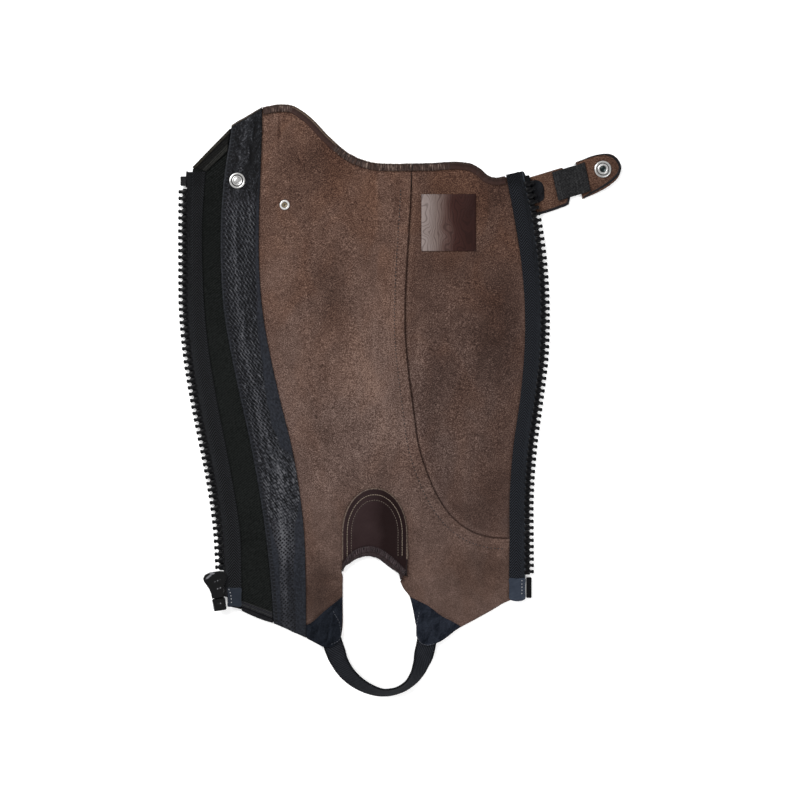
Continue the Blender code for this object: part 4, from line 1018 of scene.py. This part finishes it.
KNEE_TONES = ((26, 16, 13), (58, 42, 36), (80, 63, 56), (132, 115, 105))
ARCH_TONES = ((16, 9, 10), (44, 33, 35), (58, 46, 48), (84, 72, 74))
BINDING_STEP, KNEE_REACH, ARCH_COLUMNS = 0.62, 7, 110
front_edge, calf_edge = (curve(edge, BINDING_STEP) for edge in (KNEE_EDGE_FRONT, KNEE_EDGE_CALF))
for name, node, edge, fold, leather, relief, flat in (
        ("knee_binding_front_strip", "knee_binding_front", front_edge,
         line_beside(front_edge, KNEE_REACH),
         binding_leather("binding_leather_front", KNEE_TONES, ((70, 54, 45), (142, 124, 106)),
                         (28, 80)), gathers(31, 0.16, ((30, 84),)), (18, 152)),
        ("knee_binding_calf_strip", "knee_binding_calf", calf_edge,
         line_beside(calf_edge, KNEE_REACH),
         binding_leather("binding_leather_calf", KNEE_TONES, ((42, 30, 25), (74, 56, 48)),
                         (34, 110)), gathers(34, 0.16, ((30, 50),)), (18, 87)),
        ("arch_binding_strip", "arch_binding", spread(ARCH_EDGE, ARCH_COLUMNS),
         spread(ARCH_FOLD, ARCH_COLUMNS),
         binding_leather("binding_leather_arch", ARCH_TONES, ((30, 20, 21), (60, 48, 50)),
                         gather_shading=1.8, ribs=0.16), gathers(37, 0.2), (25, 68))):
    folded_band(name, node, edge, fold, 0.9, leather, flat, ("front_panel_leather",), relief)


# ---- Arch patch ----
# Smooth dark brown leather over the instep, sewn on the suede with two rows of tan thread and
# held by the arch binding at its foot.
def arch_leather():
    finish = Finish("arch_patch_leather", Roughness=0.46, Specular_IOR_Level=0.16)
    grain = finish.pebbles(1 / 1.1, 1 / 1.1)
    # A painted sheen on the middle of the patch, and painted shade on its right side.
    tone = finish.noise(14, 3) * 0.5 + finish.noise(1.2) * 0.3 + 0.32 \
        + finish.spot(-31, -112, 16, 44) * 0.3 \
        - finish.step(finish.part(0), -22, -8) * 0.5
    rim = finish.step(finish.part(0, on_cloth=True), 1.3, 0.7)
    colour = finish.over(finish.shades(tone, (25, 8, 8), (52, 37, 38), 0), rim * 0.8,
                         finish.noise(1.1, 1) * 1.6 + 0.5, (56, 42, 38), (140, 122, 108), 0.1, 0.9)
    return finish.wear(colour, grain * 0.06 + finish.noise(5) * 0.12)


ARCH_CENTRE_X, ARCH_HALF_WIDTH = -22.1, 29.1
ARCH_SHOULDER_Y, ARCH_TOP_Y = -118, -77.9
ARCH_FEET = ((-51.2, -149.4), (6.9, -156.4))
ARCH_ROWS = ((4.6, 1.4), (8.3, 2.6))


def arch_line(inset, lower=0):
    """The patch's outline moved inwards, and its top more, from the left foot to the right one."""
    angle = np.linspace(math.pi, 0, 60)
    half = ARCH_HALF_WIDTH - inset
    top = np.column_stack([ARCH_CENTRE_X + half * np.cos(angle), ARCH_SHOULDER_Y
                           + (ARCH_TOP_Y - inset - lower - ARCH_SHOULDER_Y) * np.sin(angle)])
    left = np.linspace((ARCH_FEET[0][0] + inset, ARCH_FEET[0][1] + 8), top[0], 20)[:-1]
    right = np.linspace(top[-1], (ARCH_FEET[1][0] - inset, ARCH_FEET[1][1] + 16), 20)[1:]
    return np.concatenate([left, top, right])


def arch_relief(xy):
    dent = 0
    for row in ARCH_ROWS:
        dent = dent - 0.28 * np.exp(-(distance_to(xy, arch_line(*row))[0] / 0.8) ** 2)
    return dent + 0.1 * wander(xy, 14, 41)


def from_patch_edge(flat):
    """How far in from the patch's curved cut edge each place is, in mm, and its height."""
    return np.column_stack([distance_to(flat, arch_line(0))[0], flat[:, 1]])


cut_sheet("arch_patch_cut", "arch_patch", 1.2, 1.2, (arch_leather(), raw_edge, raw_edge),
          (58, 78), 3360, arch_relief, from_patch_edge, rests_on=("front_panel_leather",))
for name, row, pitch, length, radius, sewn in (
        ("arch_stitches_outer", ARCH_ROWS[0], 2.1, 1.9, 0.34,
         thread("arch_thread_tan", (98, 82, 70), (158, 142, 126))),
        ("arch_stitches_inner", ARCH_ROWS[1], 2.2, 1.5, 0.28,
         thread("arch_thread_worn", (66, 54, 48), (128, 112, 100)))):
    stitches(name, arch_line(*row), surface("arch_patch"), pitch, length, radius, sewn,
             "arch_patch_dark_leather")


# ---- Loop patches and foot elastic ----
# Corners of dark suede cover the sewn ends of a woven elastic, which passes under the sole and
# stands on its edge where the loop turns.
def dark_suede(name, dark, light):
    finish = Finish(name, Roughness=0.95, Specular_IOR_Level=0.05)
    nap = finish.noise(1.2, 3, 0.6)
    tone = 0.48 + nap * 1.1 + finish.noise((5, 11), 3, 0.6, turn=30, warp=0.8) * 1.6
    return finish.wear(finish.shades(tone, dark, light, 0.1, 0.9),
                       nap * 0.2 + finish.noise(7) * 0.3)


for side, dark, light, seed, flat, area in (
        ("left", (9, 12, 17), (35, 39, 47), 51, (33, 45), 910),
        ("right", (14, 18, 25), (45, 49, 59), 53, (45, 43), 970)):
    cut_sheet(f"loop_patch_{side}_suede", "loop_patch_" + side, 1, 1.3,
              dark_suede("loop_patch_suede_" + side, dark, light), flat, area,
              lambda xy: 0.12 * wander(xy, 6, seed), rounds=5, rests_on=("front_panel_leather",))

for name, node, path, dark, light in (
        ("patch_stitches_left", "loop_patch_left",
         ((-59.2, -187.3), (-53, -199.8), (-53.8, -213.2), (-61.9, -217.6)),
         (34, 38, 46), (58, 62, 70)),
        ("patch_stitches_right", "loop_patch_right",
         ((17.4, -188.2), (15.6, -208.7), (19.1, -215.8), (24.5, -217.6), (33.4, -215.8)),
         (46, 50, 60), (78, 82, 92))):
    stitches(name, curve(path, 1), surface(node), 2.6, 2.2, 0.32,
             thread(name + "_thread", dark, light), node + "_patch_suede", sink=0.1)

ELASTIC_WIDTH, ELASTIC_THICKNESS, LEATHER_TOP = 17.6, 1.5, 2.1
ELASTIC_STEP, ELASTIC_COLUMNS = 1.5, 15
ELASTIC_ROUTE = (  # x, y, lean, and whether it is sewn on the leather
    (-64, -202.5, 0, 1), (-61.3, -210.5, 0, 1), (-57.4, -222.4, 0, 1),
    (-53.4, -231.6, 27, 0), (-46.4, -242, 37, 0), (-37.4, -249.9, 46, 0),
    (-27.1, -255.5, 54, 0), (-14.7, -258.7, 63, 0), (-3.1, -257.2, 65, 0),
    (7.6, -251.4, 62, 0), (14.6, -243, 51, 0), (19.2, -232.8, 35, 0),
    (22.3, -223.4, 0, 1), (25.2, -209, 0, 1), (27.2, -199.5, 0, 1),
)


def woven_elastic():
    """Woven elastic: fine slanting ribs, and painted shade along both edges."""
    finish = Finish("foot_elastic_weave", Roughness=0.85, Specular_IOR_Level=0.08)
    across = finish.part(0, on_cloth=True)
    rib, yarn = finish.ribs(0.175, 38, True, loose=0.4), finish.noise((0.5, 1.4), on_cloth=True)
    # Painted shade along both edges of the band.
    rim = finish.step(across, 2.2, 0.8) \
        + finish.step(across, ELASTIC_WIDTH - 2.2, ELASTIC_WIDTH - 0.8)
    tone = 0.5 + (rib - 0.5) * 0.5 + yarn * 0.7 + finish.noise(20) * 0.4 - rim * 0.35
    return finish.wear(finish.ramp(tone, (0, 8, 9, 12), (0.5, 28, 30, 35), (1, 56, 58, 64)),
                       rib * 0.16 + yarn * 0.1)


def elastic_band():
    route = np.array(ELASTIC_ROUTE, float)
    middle = curve(route[:, :2], ELASTIC_STEP)
    along = np.linspace(0, 1, len(middle))
    marks = run_of(route[:, :2])
    lean = np.radians(np.interp(along, marks / marks[-1], route[:, 2]))
    sewn = np.interp(along, marks / marks[-1], route[:, 3])
    sewn = sewn * sewn * (3 - 2 * sewn)
    half = ELASTIC_WIDTH / 2
    lift = half * np.sin(lean)
    height = np.maximum(lift, LEATHER_TOP * sewn + lift * (1 - sewn))
    share = np.linspace(-1, 1, ELASTIC_COLUMNS)[None, :]
    reach = half * share * np.cos(lean)[:, None]
    xy = middle[:, None] - normals(middle)[:, None] * reach[..., None]
    z = height[:, None] + half * share * np.sin(lean)[:, None]
    points = np.concatenate([xy, z[..., None]], axis=2).reshape(-1, 3)
    uv = np.stack([np.broadcast_to((share + 1) * half, z.shape), np.broadcast_to(
        (along * run_of(middle)[-1])[:, None], z.shape)], axis=2).reshape(-1, 2)
    item = mesh_object("foot_elastic_band", points, grid_faces(*z.shape), (woven_elastic(),), uv)
    thickened(item, ELASTIC_THICKNESS, 1)
    return item


fitted(elastic_band(), "foot_elastic", (17.6, 166), held="stretched",
       rests_on=("front_panel_leather", "table"))


# ---- Zip tapes and their films ----
# Herringbone tape sewn along both long edges, with a smooth rail that carries the teeth, and a
# glossy film welded on at the open end to stiffen it.
RAIL_LEFT = ((280, -189), (240, -189), (200, -189.3), (160, -190), (120, -190),
             (80, -189.4), (40, -185.8), (0, -179.3), (-40, -171.3), (-80, -163.7),
             (-120, -158.3), (-160, -156.2), (-200, -156.2))
RAIL_RIGHT = ((280, 92), (240, 102), (200, 110.8), (160, 119.1), (120, 124.6), (80, 126.6),
              (40, 125.6), (0, 120.9), (-40, 115.6), (-80, 112.6), (-120, 112.2), (-160, 112.4),
              (-200, 112.4))


TWILL_COLUMN, TWILL_PITCH, RAIL_WIDTH = 5.2, 2.5, 5.2


def herringbone(name, side, dark, light, chevron, deep, rail_line, end_shade):
    """Twill tape: slanting ribs that turn back at each chevron, beside a smooth rail."""
    finish = Finish(name, Roughness=0.82, Specular_IOR_Level=0.08)
    across, along = finish.cloth()
    across = across * side
    fold = finish.maths("PINGPONG", across - chevron, TWILL_COLUMN)
    rib = finish.maths("SINE", (fold * 1.2 + along) * (6.283 / TWILL_PITCH))
    rail, yarn = finish.step(across, RAIL_WIDTH, 4), finish.noise(1, 1)
    column = finish.band(across, chevron - 4.4, chevron - 3.2, chevron + 3.2, chevron + 4.4)
    tone = 0.38 + rib * (1 - rail) * 1.1 + yarn * 1.3 + finish.noise(26) * 0.35 \
        + rail * 0.1 - column * deep - finish.step(along, 0, 200) * 0.26 \
        - finish.step(along, 186, 196) * finish.step(across, 3, 6) * end_shade
    colour = finish.shades(tone, dark, light, 0, 1)
    colour = finish.over(colour, finish.step(across, 15.4, 16.4) * 0.7, yarn + 0.5,
                         (14, 15, 16), (24, 25, 27), 0, 1)
    colour = finish.over(colour, finish.band(across, 0, 0.5, 0.9, 1.5) * rail_line, yarn + 0.5,
                         (60, 68, 76), (84, 92, 100), 0, 1)
    return finish.wear(colour, rib * (1 - rail) * 0.12 + yarn * 0.08)


def tape_relief(rail, side):
    """A round cord inside the rail, and a shallow groove between the rail and the twill."""
    def relief(xy):
        across = beside_upright(rail)(xy)[:, 0] * side
        return 0.45 * np.exp(-((across - 1.4) / 1.3) ** 2) - 0.2 * np.exp(-((across - 5) / 0.7) ** 2)
    return relief


for hand, side, rail, weave, flat, area, under in (
        ("left", 1, RAIL_LEFT, ((7, 8, 9), (44, 45, 48), 9.8, 0.3, 0, 0.28),
         (16.3, 388), 6040, "stretch_panel_cloth"),
        ("right", -1, RAIL_RIGHT, ((9, 10, 13), (44, 47, 53), 8.4, 0, 0.8, 0.55),
         (16, 383), 5540, "calf_panel_leather")):
    node = "zip_tape_" + hand
    cut_sheet(node + "_cloth", node, 0.8, 1.5, herringbone(node + "_weave", side, *weave), flat,
              area, tape_relief(rail, side), beside_upright(rail), rounds=8, roll=0.1,
              rests_on=(under,))


def glossy_film(name, dark, light):
    finish = Finish(name, Roughness=0.4, Specular_IOR_Level=0.28)
    tone = 0.5 + finish.noise((3, 1), 3) * 0.7 + finish.noise(6) * 0.6
    return finish.wear(finish.shades(tone, dark, light, 0.1, 0.9), finish.noise(0.9) * 0.05)


for name, node, flat, dark, light in (
        ("film_left", "zip_film_left", (12.1, 16.3), (20, 26, 35), (44, 50, 60)),
        ("film_right", "zip_film_right", (14.4, 17.6), (34, 41, 54), (58, 66, 79))):
    cut_sheet(name, node, 0.4, 1, glossy_film(name + "_gloss", dark, light), flat,
              relief=lambda xy: 0.05 * wander(xy, 4, 61), rounds=4, border=0.4, roll=0.1,
              rests_on=(node.replace("film", "tape") + "_cloth",))
white_thread = thread("film_thread_white", (150, 150, 152), (214, 214, 216))
for name, node, path in (
        ("film_stitches_left", "zip_film_left",
         ((-152, -166.6), (-150.2, -171.5), (-149.4, -177), (-149.2, -182.4))),
        ("film_stitches_right", "zip_film_right", ((109, -159), (108.9, -176)))):
    stitches(name, curve(path, 0.5), surface(node), 2.9, 1.1, 0.36, white_thread, node + "_film",
             sink=0.05)


# ---- Zip teeth ----
# Black moulded plastic teeth, each a broad base gripped round the rail of the tape, a narrow
# neck and a rounded head.
def black_plastic():
    finish = Finish("moulded_black_plastic", Roughness=0.4, Specular_IOR_Level=0.12)
    return finish.wear(finish.shades(finish.noise(3, 3) * 0.8 + 0.5, (5, 5, 6), (17, 17, 20)),
                       finish.noise(0.5) * 0.03)


TOOTH = (  # how far out from the rail, half the width as a share of the pitch, half the thickness
    (-1.4, 0.44, 0.7), (-1.1, 0.49, 1.3), (-0.4, 0.503, 1.6), (1, 0.505, 1.7),
    (3, 0.503, 1.7), (3.5, 0.45, 1.6), (3.8, 0.33, 1.45), (4.2, 0.26, 1.3),
    (5.3, 0.25, 1.25), (5.9, 0.3, 1.35), (6.6, 0.31, 1.3), (7.1, 0.25, 1.05), (7.35, 0.12, 0.6),
)


RAIL_POINTS, TOOTH_SIDES, TOOTH_SQUARE, TOOTH_MIDDLE = 400, 10, 0.75, 2


def zip_teeth(name, node, rail, side, start, end, pitch, material):
    """One moulded tooth at each step down the rail, all in one mesh."""
    down = np.linspace(start, end, RAIL_POINTS)
    line = np.column_stack([upright(rail)(down), down])
    along, teeth = run_of(line), []
    low, high = surface(node, -1), surface(node)
    for place in np.linspace(pitch / 2, along[-1] - pitch / 2, round(along[-1] / pitch)):
        before, at, after = (np.array([np.interp(place + ahead, along, line[:, k]) for k in (0, 1)])
                             for ahead in (-1, 0, 1))
        heading = (after - before) / np.linalg.norm(after - before)
        out = np.array([heading[1], -heading[0]])
        out *= side * np.sign(out[0])
        spot, beside = (at + out * TOOTH_MIDDLE)[None], np.array([-out[1], out[0]])
        middle = (low(spot)[0] + high(spot)[0]) / 2
        teeth.append([ring(at + out * reach, beside, middle, wide * pitch, tall, TOOTH_SIDES,
                           TOOTH_SQUARE) for reach, wide, tall in TOOTH])
    tubes(name, teeth, material, node)


plastic = black_plastic()
zip_teeth("zip_teeth_left_moulded", "zip_teeth_left", RAIL_LEFT, -1, 188.6, -150.8, 5.76, plastic)
zip_teeth("zip_teeth_right_moulded", "zip_teeth_right", RAIL_RIGHT, 1, 195.2, -155.2, 5.55, plastic)


# ---- Slider, stops, box and pin ----
# Black painted metal slider run down on to its box, the pull hanging on the outer side, a bright
# and a black top stop, and the pin of the open end.
def painted_metal():
    """Black paint on metal, grey at the slider's mouth where it is worn and painted lighter as highlight, in
    rows of painted glints on its top, and along the box's lit left side as painted highlight.
    """
    finish = Finish("black_painted_metal", Metallic=0.2, Roughness=0.36)
    # Painted highlight, with wear at the mouth: the slider's upper left mouth edge and the box's left side,
    # which face the window light.
    wear_and_highlight = finish.spot(-169.6, -156.6, 6.5, 1.7, -38) + finish.spot(-166.2, -153.4, 4.4, 1.6) \
        + finish.spot(-165.4, -183, 1.5, 10, -12) * 1.1
    # Rows of painted glints on the slider's top.
    dashes = finish.step(finish.maths("SINE", finish.part(0) * 2.6), -0.2, 0.6)
    for x, y, wide, turn, amount in (
            (-161.9, -160.1, 7.4, -24.5, 0.8), (-160.2, -166.6, 4.4, -18.6, 1.3),
            (-158.8, -180.1, 4.2, -7, 0.8)):
        wear_and_highlight = wear_and_highlight + finish.spot(x, y, wide, 1.1, turn) * dashes * amount
    wear_and_highlight = finish.step(wear_and_highlight + finish.noise(1.5) * 0.7, 0.3, 0.7)
    paint = finish.shades(finish.noise(2.5, 3) + 0.5, (4, 4, 5), (14, 14, 16))
    colour = finish.over(paint, wear_and_highlight * 0.85, finish.noise(1) + 0.5,
                         (100, 100, 106), (170, 170, 174), 0, 1)
    return finish.wear(colour, finish.noise(0.7) * 0.03)


def worn_steel():
    finish = Finish("worn_steel", Metallic=1, Roughness=0.24)
    scratch = finish.noise((0.5, 3), 3, turn=30)
    tone = scratch + finish.noise(1.5) * 0.6 + 0.5
    return finish.wear(finish.shades(tone, (50, 50, 52), (112, 112, 115)), scratch * 0.03)


for material, nodes in ((painted_metal(), ("slider_body", "retainer_box", "pull_tab")),
                        (plastic, ("top_stop_right", "insertion_pin")),
                        (worn_steel(), ("top_stop_left",))):
    for node in nodes:
        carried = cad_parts[node].data.materials
        carried.clear()
        carried.append(material)


BEAD_STEP, BEAD_SIDES, BEAD_FLATNESS, BEAD_SINK = 1, 10, 0.8, 0.4


def edge_bead(name, node, rows, outward, material):
    """A round bead beside a line on a piece: rows of x, y and radius, and how far to the right."""
    path = curve(rows, BEAD_STEP)
    line, radius = line_beside(path[:, :2], outward), path[:, 2]
    height = surface(node)(line) - radius * BEAD_SINK
    rings = [ring(at, side, z, fat, fat * BEAD_FLATNESS, BEAD_SIDES)
             for at, side, z, fat in zip(line, normals(line), height, radius)]
    tubes(name, [rings], material)


# The tape's black cord carried on up to each top stop. It also stands as painted shade: a black fill for the
# gap between stop and tape, which is dark with shade.
edge_bead("zip_stop_core_and_gap_shade", "zip_tape_left",
          ((-189.2, 204, 0.8), (-189.4, 197, 1), (-189.5, 189.6, 1)), 0, plastic)
edge_bead("zip_end_core_and_gap_shade", "zip_tape_right",
          ((109.9, 203.4, 0.8), (112.2, 197, 1.1), (113.6, 190.6, 1.1)), 0, plastic)


# ---- Closing strap ----
# A leather base sewn on the outer face, black elastic, and a leather end tab with a painted edge,
# which carries the socket of the snap.  A small black patch covers the end of the elastic.
strap_suede = suede(
    "strap_suede_nap", ((48, 34, 28), (68, 50, 42), (80, 62, 53), (96, 76, 66), (118, 96, 84)),
    0.42, patches=((124, 188, 20, 24, 0.14),))


def painted_edge():
    finish = Finish("strap_edge_paint", Roughness=0.6, Specular_IOR_Level=0.15)
    return finish.wear(finish.shades(finish.noise(2, 3) + 0.5, (8, 7, 9), (24, 22, 26)),
                       finish.noise(1) * 0.05)


edge_paint = painted_edge()
cut_sheet("strap_base_leather", "strap_base", 1.5, 1.7, (strap_suede, edge_paint, outer_side),
          (52, 40), 1630, rounds=4, roll=0.4)
cut_sheet("strap_tab_leather", "strap_tab", 1.5, 1.5, (strap_suede, edge_paint, outer_side),
          (40.2, 36), 1080, rounds=8, roll=0.4)
edge_bead("strap_base_edge", "strap_base", (
    (106.8, 164, 1.1), (115.6, 165.6, 1.2), (124.8, 167.8, 1.3), (133.6, 170.4, 1.3),
    (142.4, 173.5, 1.3), (148.8, 176.4, 1.2), (150.3, 181.6, 0.8)), 0.9, edge_paint)
edge_bead("strap_tab_edge", "strap_tab", (
    (156.4, 209.5, 0.45), (165.4, 214, 0.5), (176.7, 217.5, 0.6), (184.2, 217.9, 0.9),
    (190, 215.8, 1.2), (193.9, 211.6, 1.4), (195.3, 207.2, 1.4), (194, 202.8, 1.4),
    (188.6, 197, 1.3), (177.6, 189.6, 1.2), (169, 185, 1.1), (163.6, 181.4, 1)),
    -0.9, edge_paint)
strap_cloth = stretch_knit("strap_elastic_knit", (28, 28, 29), (56, 56, 57), (
    (137.3, 203.6, 143.4, 178.2), (139.6, 204.3, 145.6, 179),
    (155.2, 209, 159.6, 183.2), (157.6, 209.8, 163.8, 184.6)), 0.25)
cut_sheet("strap_elastic_cloth", "strap_elastic", 1.2, 1.3, strap_cloth, (30.7, 26.7), rounds=5,
          held="stretched", rests_on=("strap_base_leather", "strap_tab_leather"))
cut_sheet("strap_patch_suede", "strap_patch", 0.5, 1.2,
          dark_suede("strap_patch_black", (14, 14, 16), (36, 37, 41)), (12.5, 21.5), 205,
          rounds=4, border=0.5, roll=0.15, rests_on=("strap_base_leather",))


# ---- Snap and rivet ----
# Nickel plated stud through the facing strip, small rivet in the front panel, and the socket in
# the strap's end tab.
def plated(name, at, rings, centre=None, metallic=0.55):
    """Bright nickel with painted shade in its grooves and hole, and a painted shadow round its rim: rings of
    radius, half width (mm) and darkness.
    """
    finish = Finish(name, Metallic=metallic, Roughness=0.28)
    away = finish.vector("SUBTRACT", finish.place(), (*at, 0))
    radius = finish.vector("LENGTH", finish.vector("MULTIPLY", away, (1, 1, 0)), output=1)
    scratch = finish.noise((0.8, 3), 3, turn=30)
    tone = scratch + 0.5
    colour = finish.shades(tone, (196, 194, 192), (246, 245, 243))
    if centre:
        reach, shade = centre
        colour = finish.over(colour, finish.step(radius, reach + 0.2, reach - 0.2), tone,
                             [c * 0.75 for c in shade], shade, 0.1, 0.9)
    # Painted shade: dark rings in the grooves and the rivet's hole, and a painted shadow round each rim.
    for middle, half, dark in rings:
        line = finish.band(radius, middle - half, middle - half * 0.3, middle + half * 0.3,
                           middle + half)
        colour = finish.over(colour, line * dark, tone, (16, 14, 14), (40, 37, 35))
    return finish.wear(colour, scratch * 0.03)


TURNED_SIDES = 56


def turned_part(name, node, at, lower, upper, material):
    """A part turned about an upright axis: rows of radius and mm above its foot or below its top."""
    heights = [v.co.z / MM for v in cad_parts[node].data.vertices]
    angle = np.linspace(0, 2 * math.pi, TURNED_SIDES, endpoint=False)
    circle = np.stack([np.cos(angle), np.sin(angle)], axis=1)
    profile = [(r, min(heights) + up) for r, up in lower]
    profile += [(r, max(heights) - down) for r, down in upper]
    rings = [np.column_stack([np.array(at) + circle * r, np.full(TURNED_SIDES, z)])
             for r, z in profile]
    tubes(name, [rings], material, node)


STUD_AT, RIVET_AT, SNAP_AT = (-144.2, 195.3), (-102.3, 174), (180.9, 205.8)
turned_part("snap_stud_turned", "snap_stud", STUD_AT,
            ((0.05, 0), (2.3, 0), (3.1, 0.7), (2.5, 2.2), (6, 2.6), (6.2, 3.3), (1.5, 3.35)),
            ((1.5, 1.25), (7, 1.25), (7.15, 0.95), (7, 0.6), (6.6, 0.35), (6.1, 0.28), (5.6, 0.4),
             (5.2, 0.75), (4.95, 1.1), (4.75, 0.8), (4.5, 0.45), (4.1, 0.25), (3.6, 0.3),
             (3.2, 0.55), (2.9, 0.5), (2.5, 0.2), (1.7, 0.06), (0.8, 0), (0.05, 0)),
            plated("nickel_stud", STUD_AT, ((4.9, 0.75, 1), (3.1, 0.4, 0.6), (7.2, 0.5, 0.95),
                                            (1.8, 0.35, 0.35))))
turned_part("rivet_turned", "rivet", RIVET_AT,
            ((0.05, 0), (2.6, 0.1), (4.3, 0.8), (4.4, 1.4), (1.2, 1.45)),
            ((1.2, 0.85), (4.35, 0.85), (4.45, 0.6), (4.25, 0.25), (3.8, 0.04), (3.3, 0),
             (2.85, 0.15), (2.5, 0.45), (2.2, 0.6), (1.2, 0.6), (0.6, 0.65), (0.4, 0.9),
             (0.05, 0.95)),
            plated("nickel_rivet", RIVET_AT, ((2.5, 0.5, 0.8), (0, 1.3, 0.95), (4.55, 0.3, 0.8)),
                   (2.4, (150, 134, 104)), 0.15))
turned_part("snap_socket_turned", "snap_socket", SNAP_AT,
            ((0.05, 0), (4.5, 0.2), (7.2, 0.9), (7.4, 1.1), (3.1, 1.15)),
            ((3.1, 2.8), (7.4, 2.8), (7.5, 2.5), (7.25, 2.15), (6.7, 1.95), (6.1, 1.9),
             (5.6, 2.05), (5.2, 2.2), (5, 2), (4.8, 1.4), (4.65, 0.7), (4.4, 0.25), (3.9, 0),
             (3.4, 0.05), (3.1, 0.3), (2.9, 0.9), (2.75, 1.9), (2.5, 2.15), (0.05, 2.2)),
            plated("nickel_socket", SNAP_AT, ((5.3, 0.6, 0.9), (2.85, 0.35, 0.7), (7.55, 0.35, 0.8)),
                   (2.7, (52, 66, 66))))


# ---- The end ----
bpy.context.view_layer.update()
